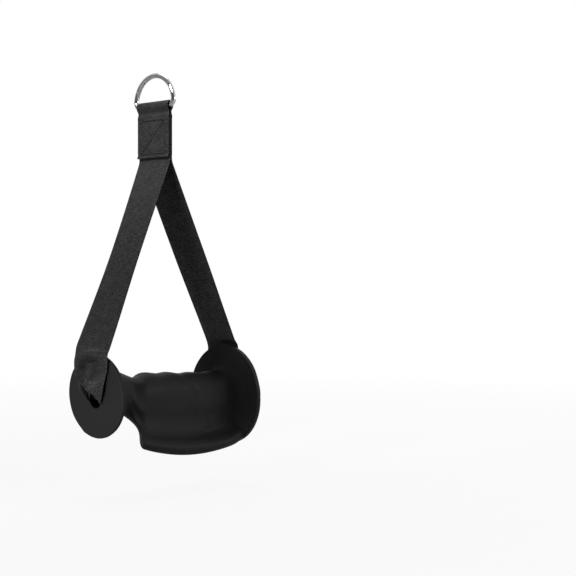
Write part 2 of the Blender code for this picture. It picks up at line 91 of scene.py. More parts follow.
# Each branch's twist half-way down and at its foot, its share of the bow, and the crown across it
LEFT_TWISTS, RIGHT_TWISTS = (math.radians(-3), math.radians(4)), (0.0, math.radians(-3.5))
LEFT_BOW_SHARE, RIGHT_BOW_SHARE, CROWN = 1.6, 0.5, 0.25 * MM
# The curled strap inside the bore: bend of its sides, drop of its middle, ease and distance from the faces
CURL_BEND, CURL_DROP, CURL_EASE, CURL_START = 4.2 * MM, 2.2 * MM, 1.2 * MM, 6.5 * MM
# Distances between rows of the net along the stack and along the finished strap
STACK_SPACING, ROW_SPACING = 4 * MM, 2.4 * MM
BEND_STEPS, BRANCH_STEPS, BORE_STEPS, LOOP_STEPS = 5, 18, 18, 12
# The strap's hidden end below the bar, and how much higher than round the loop over the bar is
HIDDEN_END, LOOP_PUFF = 8 * MM, 0.6 * MM
# The stack's profile: drop below the bar in mm, with a share of the loop's radius or of the layers' pitch
LOOP_SHARES = ((0.0, 1.0), (1.4, 0.96), (2.8, 0.76))
PINCH_SHARES = (
    (4.2, 0.88), (5.6, 0.62), (7.0, 0.72), (8.6, 1.12), (10.2, 1.2), (12.0, 0.92), (13.6, 1.03), (15.2, 1.0))
# The flap's foot: height over its end and how far it stands out, in mm
FLAP_FOOT = ((6.0, 0.1), (4.6, -0.1), (3.6, -0.2), (2.6, 0.1), (1.4, 0.7), (0.6, 0.8), (0.0, 0.7))
# Dent along a seam: depth, half width. Puff beside it: height, reach, share outside the sewn box.
SEAM_DEPTH, SEAM_HALF_WIDTH, PUFF, PUFF_REACH, OUTER_PUFF_SHARE = 0.45 * MM, 0.9 * MM, 0.4 * MM, 4 * MM, 0.4
# How far the puckered part reaches past the sewn box, and how far from the stack's face a corner may lie
PUCKER_ABOVE, PUCKER_BELOW, FACE_REACH = 5 * MM, 3 * MM, 0.35 * MM
# The lengths over which the pucker fades in at its two ends
PUCKER_FADE_ABOVE, PUCKER_FADE_BELOW = 3 * MM, 2 * MM
# How the funnel differs on the flange, in mm: amount, height where it starts, height over which it grows
FLANGE_RAISED, FLANGE_FLATTENED, FLANGE_NARROWED = (2.8, 8, 26), (0.7, 14, 14), (0.1, 18, 12)
# Least height over the flange's face outside the mouth, and what is added to every height there, in mm
FLANGE_LEAST, FLANGE_STAND_OFF = 0.9, 0.2

# The strap where it drops down the end face and folds into the bore, a row at a time from the rim.
# Each point is (distance from the face, y, height over the bore's axis) in millimetres, front edge first.
FUNNEL = (
    ((1.8, -20.3, 36.4), (2.4, -16.4, 37.5), (2.9, -12.5, 38.1), (3.3, -8.6, 38.4),
     (3.6, -4.7, 38.5), (3.7, -0.9, 38.5), (3.7, 2.9, 38.2), (3.5, 6.7, 37.6),
     (3.3, 10.5, 36.7), (3.1, 14.3, 35.5), (2.9, 18.1, 34.2)),
    ((1.7, -20.4, 34), (2.6, -16.5, 35.2), (3.4, -12.6, 36), (4, -8.7, 36.5),
     (4.5, -4.8, 36.7), (4.7, -0.9, 36.7), (4.6, 3, 36.3), (4.3, 6.8, 35.6),
     (4, 10.7, 34.5), (3.8, 14.6, 33.1), (3.6, 18.5, 31.6)),
    ((1.6, -20.4, 31.8), (2.5, -16.5, 33.2), (3.1, -12.6, 34.2), (3.3, -8.7, 35),
     (3, -4.8, 35.4), (2.6, -0.9, 35.5), (2.4, 3, 35.1), (2.4, 6.8, 34.2),
     (2.9, 10.8, 32.7), (3.6, 14.8, 30.8), (3.6, 18.8, 29.2)),
    ((1.6, -20.2, 29.4), (1.9, -16.2, 30.6), (1.6, -12.3, 31.8), (0.6, -8.4, 33),
     (-0.6, -4.5, 33.9), (-1.3, -0.6, 34.1), (-1.5, 3.3, 33.5), (-1, 7.2, 32.1),
     (0.4, 11, 30.2), (2.9, 15, 28), (3.6, 19, 26.2)),
    ((1.5, -19.7, 26.2), (1.6, -15.7, 27), (0.7, -11.7, 28), (-0.7, -7.7, 29.2),
     (-1.9, -3.8, 30.2), (-2.8, 0.1, 30.6), (-3.4, 4, 30), (-3.2, 7.9, 28.4),
     (-1.8, 11.8, 26.4), (1.4, 15.6, 24.4), (3.4, 19.4, 23)),
    ((1.4, -18.7, 21.8), (1.7, -14.7, 22.3), (1.3, -10.7, 23), (0.7, -6.8, 23.8),
     (-0.5, -3, 24.8), (-2.6, 0.4, 25.2), (-4, 4, 24.8), (-4.4, 7.8, 23.4),
     (-4, 11.8, 21.8), (-0.6, 15.7, 20.6), (2.8, 19.5, 19.6)),
    ((1.6, -17.2, 17.2), (2.7, -13.3, 17.5), (3.8, -9.5, 18), (4.5, -5.7, 18.7),
     (4.2, -2.2, 19.5), (1.2, 1, 19.8), (-3.4, 3.4, 19.2), (-5, 7.2, 18.2),
     (-4.8, 11.2, 17), (-2.2, 15.1, 16.2), (1.8, 18.9, 15.8)),
    ((1.9, -15.6, 12.2), (3.8, -11.8, 12.6), (5.8, -8.2, 13.2), (7.4, -4.8, 14),
     (8.2, -1.4, 14.8), (6.6, 1.8, 15), (-1.6, 3, 14.2), (-4.8, 6.4, 13),
     (-5, 10.2, 12.2), (-3.2, 13.8, 11.6), (0.2, 17.2, 11.8)),
    ((1.9, -13.9, 6.8), (3.7, -10.5, 7.6), (5.6, -7.1, 8.6), (7.3, -3.8, 9.6),
     (8, -0.6, 10.4), (7, 2.2, 10.6), (-1.2, 3.2, 9.4), (-4.4, 5.8, 8.8),
     (-4.8, 8.8, 8.4), (-4.2, 11.8, 8.4), (-2, 14.6, 8.6)),
    ((1.7, -12.1, 1.2), (3.4, -9.6, 2.6), (5.2, -7, 4), (6.6, -4.2, 5.2),
     (7.2, -1.2, 6.2), (6.2, 1.6, 6.8), (-1.6, 3, 6.6), (-4.2, 4.8, 6.6),
     (-5, 7, 6.6), (-4.8, 9.2, 6.8), (-4, 11, 7.4)),
    ((0.9, -9.6, -4.4), (1.6, -8.6, -2.6), (1.8, -7, -0.4), (1.6, -4.6, 1.4),
     (1, -1.6, 2.8), (-0.2, 1, 3.8), (-2.6, 2.6, 4.2), (-4.4, 4.2, 4.6),
     (-5.4, 5.6, 5), (-5.8, 6.8, 5.4), (-6, 7.6, 6.2)),
    ((-2.6, -6.6, -3.6), (-2.2, -6.2, -3.4), (-2.2, -5, -2.2), (-2.4, -3.4, -1),
     (-2.8, -1.2, 0.2), (-3.4, 1, 1.2), (-4.4, 2.8, 2.2), (-5.6, 4.2, 2.8),
     (-6.4, 5.2, 3.4), (-7, 5.8, 4), (-7.4, 5.8, 4.8)),
)


class HandleSizes(bpy.types.PropertyGroup):
    """Sizes of the handle's pieces."""

    strap_width: FloatProperty(
        name="Webbing width", description="Width of the webbing", default=0.038, unit="LENGTH")
    strap_thick: FloatProperty(
        name="Webbing thickness", description="Thickness of the webbing", default=0.0013, unit="LENGTH")
    flap_length: FloatProperty(
        name="Flap length", description="From the ring's bar down to the front flap's end",
        default=0.0445, unit="LENGTH")
    split_drop: FloatProperty(
        name="Split drop", description="From the flap's end down to the place where the branches part",
        default=0.0034, unit="LENGTH")
    branch_bow: FloatProperty(
        name="Branch bow", description="How far each branch bows in half-way down",
        default=0.0006, unit="LENGTH")
    wire: FloatProperty(
        name="Ring wire", description="Diameter of the D-ring's wire", default=0.0045, unit="LENGTH")
    eye_height: FloatProperty(
        name="Eye height", description="Height of the D-ring's opening", default=0.0223, unit="LENGTH")
    ring_corner: FloatProperty(
        name="Ring corner", description="Bend of the wire's middle line at the bar's ends",
        default=0.0055, unit="LENGTH")
    stitch_drop: FloatProperty(
        name="Stitch drop", description="From the ring's bar down to the top row of stitches",
        default=0.012, unit="LENGTH")
    stitch_height: FloatProperty(
        name="Stitched height", description="Height of the sewn box", default=0.0288, unit="LENGTH")
    stitch_width: FloatProperty(
        name="Stitched width", description="Width of the sewn box", default=0.030, unit="LENGTH")
    stitch_pitch: FloatProperty(
        name="Stitch pitch", description="Length of one stitch with its gap", default=0.0031, unit="LENGTH")
    thread: FloatProperty(name="Thread", description="Diameter of the thread", default=0.0009, unit="LENGTH")
    axis_drop: FloatProperty(
        name="Axis drop", description="From the split down to the bore's axis",
        default=0.1994, unit="LENGTH")
    grip_length: FloatProperty(
        name="Grip length", description="From the end disc's face to the flange's face",
        default=0.1488, unit="LENGTH")
    disc_face: FloatProperty(
        name="Disc face", description="From the ring's middle plane to the disc's face",
        default=0.0679, unit="LENGTH")
    disc_radius: FloatProperty(
        name="Disc radius", description="Radius of the end disc", default=0.0354, unit="LENGTH")
    flange_half_width: FloatProperty(
        name="Flange half width", description="Half the flange's width", default=0.0402, unit="LENGTH")
    flange_half_height: FloatProperty(
        name="Flange half height", description="Half the flange's height", default=0.0446, unit="LENGTH")
    pad_drop: FloatProperty(
        name="Pad drop", description="From the bore's axis down to the pad's sole",
        default=0.0538, unit="LENGTH")
    lip_reach: FloatProperty(
        name="Lip reach", description="How far the pad's lip stands forward", default=0.0295, unit="LENGTH")
    bore: FloatProperty(
        name="Bore radius", description="Radius of the cover's bore", default=0.01118, unit="LENGTH")
    mouth: FloatProperty(
        name="Mouth radius", description="Radius of the bore's narrower mouth",
        default=0.0086, unit="LENGTH")


class HandleColours(bpy.types.PropertyGroup):
    """Colours of the handle's finishes."""

    rubber: FloatVectorProperty(
        name="Rubber", description="Soft-touch rubber of the grip", default=(0.0135, 0.0135, 0.0142),
        subtype="COLOR", size=3, min=0, max=1)
    webbing: FloatVectorProperty(
        name="Webbing", description="Yarn of the webbing", default=(0.016, 0.016, 0.017),
        subtype="COLOR", size=3, min=0, max=1)
    thread: FloatVectorProperty(
        name="Thread", description="Sewing thread", default=(0.004, 0.004, 0.004),
        subtype="COLOR", size=3, min=0, max=1)
    chrome: FloatVectorProperty(
        name="Chrome", description="Plating of the D-ring", default=(0.78, 0.78, 0.79),
        subtype="COLOR", size=3, min=0, max=1)
    liner: FloatVectorProperty(
        name="Liner", description="Plastic of the core tube", default=(0.008, 0.008, 0.008),
        subtype="COLOR", size=3, min=0, max=1)
    floor: FloatVectorProperty(
        name="Floor", description="Floor under the handle", default=(0.86, 0.86, 0.86),
        subtype="COLOR", size=3, min=0, max=1)


# Places worked out from the sizes


def bar_z(sizes):
    return -(sizes.eye_height + sizes.wire / 2)


def split_z(sizes):
    return bar_z(sizes) - sizes.flap_length - sizes.split_drop


def axis_z(sizes):
    return split_z(sizes) - sizes.axis_drop


def disc_x(sizes):
    return -sizes.disc_face


def flange_x(sizes):
    return sizes.grip_length - sizes.disc_face


def layer_pitch(sizes):
    return sizes.strap_thick + LAYER_GAP


# Modelling helpers


def deselect_all():
    if bpy.context.object and bpy.context.object.mode != "OBJECT":
        bpy.ops.object.mode_set(mode="OBJECT")
    bpy.ops.object.select_all(action="DESELECT")


def named(name):
    """The piece just added, with its name."""
    piece = bpy.context.object
    piece.name = name
    piece.data.name = name
    return piece


def select_only(piece):
    deselect_all()
    bpy.context.view_layer.objects.active = piece
    piece.select_set(True)


def edit_whole(piece):
    """Enters edit mode on one piece with its whole mesh selected."""
    select_only(piece)
    bpy.ops.object.mode_set(mode="EDIT")
    bpy.ops.mesh.select_all(action="SELECT")


def face_outwards(piece):
    edit_whole(piece)
    bpy.ops.mesh.normals_make_consistent(inside=False)
    bpy.ops.object.mode_set(mode="OBJECT")


def close_shell(piece):
    """Merges doubled corners and turns every face outwards."""
    edit_whole(piece)
    bpy.ops.mesh.remove_doubles(threshold=MERGE_DISTANCE)
    face_outwards(piece)


def apply_place(piece):
    select_only(piece)
    bpy.ops.object.transform_apply(location=True, rotation=True, scale=True)


def settle(piece):
    """Puts the piece's place into its mesh and smooths its shading."""
    apply_place(piece)
    bpy.ops.object.shade_smooth_by_angle(angle=SMOOTH_ANGLE)


def apply_modifier(piece, kind, **settings):
    select_only(piece)
    modifier = piece.modifiers.new(kind.title(), kind)
    for key, value in settings.items():
        setattr(modifier, key, value)
    bpy.ops.object.modifier_apply(modifier=modifier.name)


def subdivide_smooth(piece, levels=1):
    apply_modifier(piece, "SUBSURF", levels=levels, render_levels=levels)


def shaped_grid(name, rows):
    """A grid primitive with its corners put at the given rows of points; its UV map keeps their order."""
    deselect_all()
    strips, lengths = len(rows[0]) - 1, len(rows) - 1
    bpy.ops.mesh.primitive_grid_add(x_subdivisions=strips, y_subdivisions=lengths, size=2, calc_uvs=True)
    piece = named(name)
    for vertex in piece.data.vertices:
        across = round((vertex.co.x + 1) / 2 * strips)
        along = round((vertex.co.y + 1) / 2 * lengths)
        vertex.co = rows[along][across]
    return piece


def smooth_step(share):
    share = min(1.0, max(0.0, share))
    return share * share * (3 - 2 * share)


def line_distance(lines, point):
    """How far a point is from the nearest of some straight lines, each given by its ends."""
    distances = []
    for start, end in lines:
        line = end - start
        share = min(1.0, max(0.0, (point - start).dot(line) / line.length_squared))
        distances.append((start + line * share - point).length)
    return min(distances)


def between(a, b, c, d, t):
    """The point at t between b and c of a smooth curve through a, b, c and d."""
    return (2 * b + (c - a) * t + (2 * a - 5 * b + 4 * c - d) * t * t + (3 * b - a - 3 * c + d) * t ** 3) / 2


def curve_through(points, steps, closed=False):
    """Points on a smooth curve, with the given number of steps between one key point and the next."""
    count = len(points)
    spans = count if closed else count - 1
    made = []
    for i in range(spans):
        if closed:
            a, b, c, d = (points[(i + k) % count] for k in (-1, 0, 1, 2))
        else:
            a, b, c, d = (points[min(max(i + k, 0), count - 1)] for k in (-1, 0, 1, 2))
        made += [between(a, b, c, d, step / steps) for step in range(steps)]
    return made if closed else made + [points[-1]]


# D-ring

WIRE_SIDES, ARC_STEPS, CORNER_STEPS = 32, 72, 18


class HANDLE_OT_d_ring(bpy.types.Operator):
    """Bends the D-ring's wire: a circle spun round the arc, round a corner, along the bar and round again"""

    bl_idname = "handle.d_ring"
    bl_label = "D-ring"

    def execute(self, context):
        sizes = context.scene.handle_sizes
        middle = (RING_HIGH[1] - RING_LOW[1]) / 2 - sizes.wire / 2
        arc_z = sizes.wire / 2 - middle
        corner_z = bar_z(sizes) + sizes.ring_corner
        lift = math.asin((corner_z - arc_z) / (middle - sizes.ring_corner))
        corner_y = (middle - sizes.ring_corner) * math.cos(lift)
        deselect_all()
        bpy.ops.mesh.primitive_circle_add(
            vertices=WIRE_SIDES, radius=sizes.wire / 2, rotation=(lift, 0, 0),
            location=(0, middle * math.cos(lift), arc_z + middle * math.sin(lift)))
        ring = named("bent_ring")
        edit_whole(ring)
        self.bend(ARC_STEPS, math.pi - 2 * lift, 0, arc_z)
        self.bend(CORNER_STEPS, math.pi / 2 + lift, -corner_y, corner_z)
        bpy.ops.mesh.extrude_region_move(TRANSFORM_OT_translate={"value": (0, 2 * corner_y, 0)})
        self.bend(CORNER_STEPS, math.pi / 2 + lift, corner_y, corner_z)
        bpy.ops.object.mode_set(mode="OBJECT")
        close_shell(ring)
        settle(ring)
        ring.data.materials.append(chrome(context.scene.handle_colours.chrome))
        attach(ring, "ring")
        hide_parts("d_ring")
        return {"FINISHED"}

    def bend(self, steps, turn, y, z):
        """Spins the wire's open end about an axis along X."""
        bpy.ops.mesh.spin(steps=steps, angle=-turn, center=(0, y, z), axis=(1, 0, 0))


# Webbing strap


def rounded_corner(before, corner, after, bend, steps):
    """Points round a bend between two straight runs."""
    arriving, leaving = (corner - before).normalized(), (after - corner).normalized()
    turn = math.copysign(arriving.angle(leaving), arriving.cross(leaving))
    start = corner - arriving * bend * math.tan(abs(turn) / 2)
    centre = start + Vector((-arriving.y, arriving.x)) * math.copysign(bend, turn)
    return [centre + Matrix.Rotation(turn * i / steps, 2) @ (start - centre) for i in range(steps + 1)]


def flat_row(sizes, centre, ahead, twist=0.0, crown=0.0):
    """A row of the net straight across the strap; centre and ahead are in the XZ plane."""
    turn = Matrix.Rotation(-twist, 3, Vector((ahead.x, 0, ahead.y)))
    outward = Vector((ahead.y, 0, -ahead.x))
    row = []
    for i in range(NET_COLUMNS):
        share = 2 * i / (NET_COLUMNS - 1) - 1
        point = Vector((0, (sizes.strap_width / 2 + EDGE_EASE) * share, 0))
        point += outward * crown * (1 - share * share)
        row.append(Vector((centre.x, 0, centre.y)) + turn @ point)
    return row


def branch_rows(sizes, layer_x, rim, bow, twists):
    """Rows down one branch, from the stack's foot to a little above the grip's rim."""
    split = Vector((layer_x, split_z(sizes)))
    route = rounded_corner(split + Vector((0, SPLIT_BEND)), split, rim, SPLIT_BEND, BEND_STEPS)
    start, direction = route[-1], (rim - route[-1]).normalized()
    run = (rim - start).length - FUNNEL_ROOM
    route += [start + direction * run * i / BRANCH_STEPS for i in range(1, BRANCH_STEPS + 1)]
    length = sum((b - a).length for a, b in zip(route, route[1:]))
    rows, gone = [], 0.0
    for i, place in enumerate(route):
        if i:
            gone += (place - route[i - 1]).length
        share = gone / length
        half_way = math.sin(math.pi * share)
        ahead = (route[min(i + 1, len(route) - 1)] - route[max(i - 1, 0)]).normalized()
        twist = twists[0] * half_way + twists[1] * smooth_step(2 * share - 1)
        rows.append(flat_row(sizes, place + Vector((bow * half_way, 0)), ahead, twist, CROWN * half_way))
    return rows


def curled_row(sizes, x):
    """A row inside the bore, where the strap's two sides are curled over its middle."""
    bent = math.pi * CURL_BEND
    flat = (sizes.strap_width / 2 + CURL_EASE - bent) / 2
    base = axis_z(sizes) - CURL_DROP
    row = []
    for i in range(NET_COLUMNS):
        share = 2 * i / (NET_COLUMNS - 1) - 1
        side, run = math.copysign(1, share), abs(share) * sizes.strap_width / 2
        if run <= flat:
            across, up = run, 0.0
        elif run <= flat + bent:
            turned = (run - flat) / CURL_BEND
            across, up = flat + CURL_BEND * math.sin(turned), CURL_BEND * (1 - math.cos(turned))
        else:
            across, up = flat - (run - flat - bent), 2 * CURL_BEND
        row.append(Vector((x, side * across, base + up)))
    return row


def grown(change, z):
    """How far a change of the funnel has grown at a height."""
    amount, start, run = change
    return amount * smooth_step((z - start) / run)


def disc_place(sizes, h, y, z):
    return disc_x(sizes) - math.tan(DISC_TILT) * z * MM - h * MM, y, z


def flange_place(sizes, h, y, z):
    """The funnel on the flange: its fold is higher, flatter and a little narrower."""
    z += grown(FLANGE_RAISED, z)
    h *= 1 - grown(FLANGE_FLATTENED, z)
    y *= 1 - grown(FLANGE_NARROWED, z)
    if math.hypot(y, z) * MM > sizes.mouth:
        h = max(h, FLANGE_LEAST)
    return flange_x(sizes) - math.tan(FLANGE_TILT) * y * MM + (h + FLANGE_STAND_OFF) * MM, y, z


def funnel_rows(sizes, placed):
    """Rows of the strap over an end face, where placed puts the funnel's points on that face."""
    wider = 1 + 2 * EDGE_EASE / sizes.strap_width
    rows = []
    for funnel_row in FUNNEL:
        row = []
        for point in funnel_row:
            x, y, z = placed(sizes, *point)
            row.append(Vector((x, y * wider * MM, axis_z(sizes) + z * MM)))
        rows.append(row)
    return rows


def loop_radius(sizes):
    return sizes.wire / 2 + BAR_ROOM + sizes.strap_thick / 2


def stack_line(sizes, side):
    """(x, z) of the front (-1) or back (1) layer from the bar's height down to the stitched part."""
    profile = [(drop, loop_radius(sizes) * share) for drop, share in LOOP_SHARES]
    profile += [(drop, layer_pitch(sizes) * share) for drop, share in PINCH_SHARES]
    return [Vector((side * x, bar_z(sizes) - drop * MM)) for drop, x in profile]


def layer_rows(sizes, x, start, end, ahead):
    """Rows of one straight layer of the stack, without the last."""
    steps = max(2, round(abs(end - start) / STACK_SPACING))
    return [flat_row(sizes, Vector((x, start + (end - start) * i / steps)), ahead) for i in range(steps)]


def strap_rows(sizes):
    """The strap's whole net: middle layer, left branch, bore, right branch, back layer, loop and flap."""
    bar, axis, pitch, radius = bar_z(sizes), axis_z(sizes), layer_pitch(sizes), loop_radius(sizes)
    down, up = Vector((0, -1)), Vector((0, 1))
    left_rim = Vector((disc_x(sizes) - LEFT_RIM[0], axis + LEFT_RIM[1]))
    right_rim = Vector((flange_x(sizes) + RIGHT_RIM[0], axis + RIGHT_RIM[1]))
    left_bow, right_bow = sizes.branch_bow * LEFT_BOW_SHARE, -sizes.branch_bow * RIGHT_BOW_SHARE
    split_top = split_z(sizes) + SPLIT_BEND
    rows = layer_rows(sizes, 0.0, bar - HIDDEN_END, split_top, down)
    rows += branch_rows(sizes, 0.0, left_rim, left_bow, LEFT_TWISTS)
    rows += funnel_rows(sizes, disc_place)
    start, end = disc_x(sizes) + CURL_START, flange_x(sizes) - CURL_START
    rows += [curled_row(sizes, start + (end - start) * i / BORE_STEPS) for i in range(BORE_STEPS + 1)]
    rows += funnel_rows(sizes, flange_place)[::-1]
    rows += branch_rows(sizes, pitch, right_rim, right_bow, RIGHT_TWISTS)[::-1]
    back = stack_line(sizes, 1)[::-1]
    rows += layer_rows(sizes, pitch, split_top, back[0].y, up)[1:]
    rows += [flat_row(sizes, point, up) for point in back]
    for i in range(1, LOOP_STEPS):
        turn = math.pi * i / LOOP_STEPS
        ahead = Vector((-math.sin(turn), math.cos(turn)))
        height = (radius + LOOP_PUFF) * math.sin(turn)
        rows.append(flat_row(sizes, Vector((radius * math.cos(turn), bar + height)), ahead))
    front = stack_line(sizes, -1)
    rows += [flat_row(sizes, point, down) for point in front]
    foot = bar - sizes.flap_length
    rows += layer_rows(sizes, -pitch, front[-1].y, foot + FLAP_FOOT[0][0] * MM, down)[1:]
    rows += [flat_row(sizes, Vector((-pitch - out * MM, foot + lift * MM)), down) for lift, out in FLAP_FOOT]
    return rows


def even_rows(rows, spacing):
    """The net's rows made finer across and along the strap, and each row's distance along it."""
    wide = [curve_through(row, STRIPS_PER_COLUMN) for row in rows]
    middle = len(wide[0]) // 2
    made, along, gone = [], [], 0.0
    last = len(wide) - 1
    for i in range(last):
        step_length = (wide[i + 1][middle] - wide[i][middle]).length
        steps = max(1, round(step_length / spacing))
        a, b, c, d = (wide[min(max(i + k, 0), last)] for k in (-1, 0, 1, 2))
        for step in range(steps):
            made.append([between(*four, step / steps) for four in zip(a, b, c, d)])
            along.append(gone + step_length * step / steps)
        gone += step_length
    return made + [wide[-1]], along + [gone]


def stitch_lines(sizes):
    """Ends of the straight seams of the sewn box with its cross, as (y, z) pairs."""
    half, top = sizes.stitch_width / 2, bar_z(sizes) - sizes.stitch_drop
    foot = top - sizes.stitch_height
    corners = [Vector((-half, foot)), Vector((half, foot)), Vector((half, top)), Vector((-half, top))]
    sides = list(zip(corners, corners[1:] + corners[:1]))
    return sides + [(corners[0], corners[2]), (corners[1], corners[3])]


def pucker(sizes, y, z):
    """How far the stack's face is drawn in by the stitches, or puffed between them."""
    away = line_distance(stitch_lines(sizes), Vector((y, z)))
    puff = PUFF * smooth_step(away / PUFF_REACH)
    if abs(y) >= sizes.stitch_width / 2:
        puff *= OUTER_PUFF_SHARE
    return puff - SEAM_DEPTH * math.exp(-(away / SEAM_HALF_WIDTH) ** 2)


class HANDLE_OT_webbing(bpy.types.Operator):
    """Lays the webbing: one long grid shaped along its way, thickened, smoothed and drawn in at the seams"""

    bl_idname = "handle.webbing"
    bl_label = "Webbing strap"

    def execute(self, context):
        sizes = context.scene.handle_sizes
        rows, along = even_rows(strap_rows(sizes), ROW_SPACING)
        strap = shaped_grid("webbing", rows)
        layer = strap.data.uv_layers.active
        layer.name = "weave"
        for corner in layer.data:
            row = min(len(rows) - 1, max(0, round(corner.uv[1] * (len(rows) - 1))))
            corner.uv = (corner.uv[0] * sizes.strap_width, along[row])
        apply_modifier(strap, "SOLIDIFY", thickness=sizes.strap_thick, offset=0.0, use_even_offset=False)
        subdivide_smooth(strap)
        self.draw_in(sizes, strap)
        close_shell(strap)
        settle(strap)
        strap.data.materials.append(webbing(context.scene.handle_colours.webbing))
        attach(strap, "strap")
        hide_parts("webbing_strap")
        return {"FINISHED"}

    def draw_in(self, sizes, strap):
        """Puckers both faces of the stack along the seams."""
        box_top = bar_z(sizes) - sizes.stitch_drop
        top, foot = box_top + PUCKER_ABOVE, box_top - sizes.stitch_height - PUCKER_BELOW
        face = layer_pitch(sizes) + (sizes.strap_thick - LAYER_GAP) / 2
        for vertex in strap.data.vertices:
            co = vertex.co
            if foot < co.z < top and abs(abs(co.x) - face) < FACE_REACH:
                fade = smooth_step((co.z - foot) / PUCKER_FADE_BELOW)
                fade *= smooth_step((top - co.z) / PUCKER_FADE_ABOVE)
                co.x += math.copysign(pucker(sizes, co.y, co.z) * fade, co.x)


# Stitching

# One stitch: the share of its length with its rise in mm there
STITCH_ARC = ((0.12, 0.25), (0.30, 0.40), (0.5, 0.45), (0.70, 0.40), (0.88, 0.25), (1.0, 0.0))
# How thin its ends are, how much it swells from its first end, and the sides of its thread
END_SHARE, SWELL_SHARE, THREAD_SIDES = 0.6, 1.6, 8
# Half the thread's run as a share of the pitch, the height of its ends and how deep it sits in the face
STITCH_HALF_SHARE, STITCH_ROOT, STITCH_SINK = 0.46, 0.25 * MM, 0.12 * MM


class HANDLE_OT_stitches(bpy.types.Operator):
    """Sews the box with its cross on both faces: one stitch is modelled and copied along the seams"""

    bl_idname = "handle.stitches"
    bl_label = "Stitches"

    def execute(self, context):
        sizes = context.scene.handle_sizes
        faces = (("face_stitches", "needle_thread", -1), ("back_stitches", "bobbin_thread", 1))
        for name, node, side in faces:
            model = self.one_stitch(sizes)
            self.sew(context, sizes, model, side)
            stitches = named(name)
            settle(stitches)
            face_outwards(stitches)
            stitches.data.materials.append(thread(context.scene.handle_colours.thread))
            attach(stitches, "strap")
            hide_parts(node)
        return {"FINISHED"}

    def sew(self, context, sizes, model, side):
        """Copies the stitch along every seam of one face and joins the copies."""
        face = side * (layer_pitch(sizes) + sizes.strap_thick / 2 - STITCH_SINK)
        copies = []
        for start, end in stitch_lines(sizes):
            count = max(1, round((end - start).length / sizes.stitch_pitch))
            turn = math.atan2(end.y - start.y, end.x - start.x)
            aimed = Matrix.Rotation(turn, 4, "X") @ Matrix.Scale(side, 4, (1, 0, 0))
            for i in range(count):
                place = start.lerp(end, (i + 0.5) / count)
                copy = model.copy()
                copy.data = model.data.copy()
                context.collection.objects.link(copy)
                copy.matrix_world = Matrix.Translation((face, place.x, place.y)) @ aimed
                copies.append(copy)
        bpy.data.objects.remove(model)
        deselect_all()
        for copy in copies:
            copy.select_set(True)
        context.view_layer.objects.active = copies[0]
        bpy.ops.object.join()

    def one_stitch(self, sizes):
        """A short length of thread along Y that rises over the webbing and dips in at both ends."""
        deselect_all()
        half = sizes.stitch_pitch * STITCH_HALF_SHARE
        start = (STITCH_ROOT, -half, 0)
        bpy.ops.mesh.primitive_circle_add(
            vertices=THREAD_SIDES, radius=sizes.thread / 2, location=start, rotation=(math.pi / 2, 0, 0),
            fill_type="NGON")
        stitch = named("stitch")
        edit_whole(stitch)
        bpy.ops.transform.resize(value=(END_SHARE, 1, END_SHARE), center_override=start)
        done, height = 0.0, 0.0
        for share, lift in STITCH_ARC:
            bpy.ops.mesh.extrude_region_move(TRANSFORM_OT_translate={
                "value": ((lift - height) * MM, 2 * half * (share - done), 0)})
            if done == 0.0:
                bpy.ops.transform.resize(value=(SWELL_SHARE, 1, SWELL_SHARE))
            done, height = share, lift
        bpy.ops.transform.resize(value=(END_SHARE, 1, END_SHARE))
        face_outwards(stitch)
        apply_place(stitch)
        return stitch


# Grip cover

# Angles of the sections' keys from the top over the palm side, in degrees
TOP_TURNS = (0, 27, 54, 80)
PAD_TURNS = (100, 114, 128, 140, 152, 163, 174, 182, 190, 196, 203)
BACK_TURNS = (212, 240, 270, 300, 330)
ROUND_TURNS = TOP_TURNS + PAD_TURNS + BACK_TURNS
FLANGE_TURNS = TOP_TURNS + (94, 105, 115, 125, 135, 147, 160, 172, 182, 191, 201) + BACK_TURNS
# The pad's outline as shares of the lip's reach and of the pad's drop
PAD_SHARES = (
    (0.580, 0.230), (0.560, 0.410), (0.590, 0.580), (0.700, 0.700), (0.870, 0.775), (0.960, 0.860),
    (0.930, 0.945), (0.760, 0.998), (0.440, 0.920), (0.240, 0.680), (0.120, 0.438),
)
# How far along the grip each key's run from the tube out to the flange's rim takes, in mm
SWEEPS = (10, 17, 21, 20, 19, 19, 20, 21, 23, 25, 27, 27, 27, 25, 21, 16, 12, 9, 8, 8)
# The mouth's outline against a circle, drawn out behind where the strap folds in
MOUTH_SHAPE = (1.1, 1, 1, 1, 1, 1, 1, 1, 1, 1, 0.97, 0.94, 0.92, 0.9, 0.88, 0.86, 0.82, 1.2, 1.7, 1.45)
# The raised bead behind the flange's rim: shares of the bead's height and of the way out to the rim
BEAD_SHARES = (
    (-0.30, 0.950), (-0.72, 0.962), (-0.95, 0.975), (-0.98, 0.986), (-0.75, 0.995), (-0.35, 0.999))
STEPS_PER_KEY, NECK_STEPS, PAD_END_STEPS, BODY_STEPS, SWEEP_STEPS = 7, 30, 24, 70, 36
RIM_STEPS, MOUTH_STEPS, FACE_STEPS, SMOOTH_PASSES = 8, 6, 24, 3
# The power by which the sections crowd together at the pad's left end
PAD_END_CROWDING = 2.5
# Wall over the bore at the waist, its rise to the hip, its loss to the heel and its slope towards the disc
WAIST_WALL, HIP_RISE, HEEL_LOSS, NECK_SLOPE = 3.2 * MM, 3.6 * MM, 2.4 * MM, 0.36
FIRST_GROOVE, FINGER_PITCH, WAIST_HALF, PALM_SHIFT = -25 * MM, 26 * MM, 13 * MM, 11 * MM
GROOVE_DEPTH, TOP_GROOVE_DEPTH, GROOVE_TURN = 1.5 * MM, 0.25 * MM, math.radians(285)
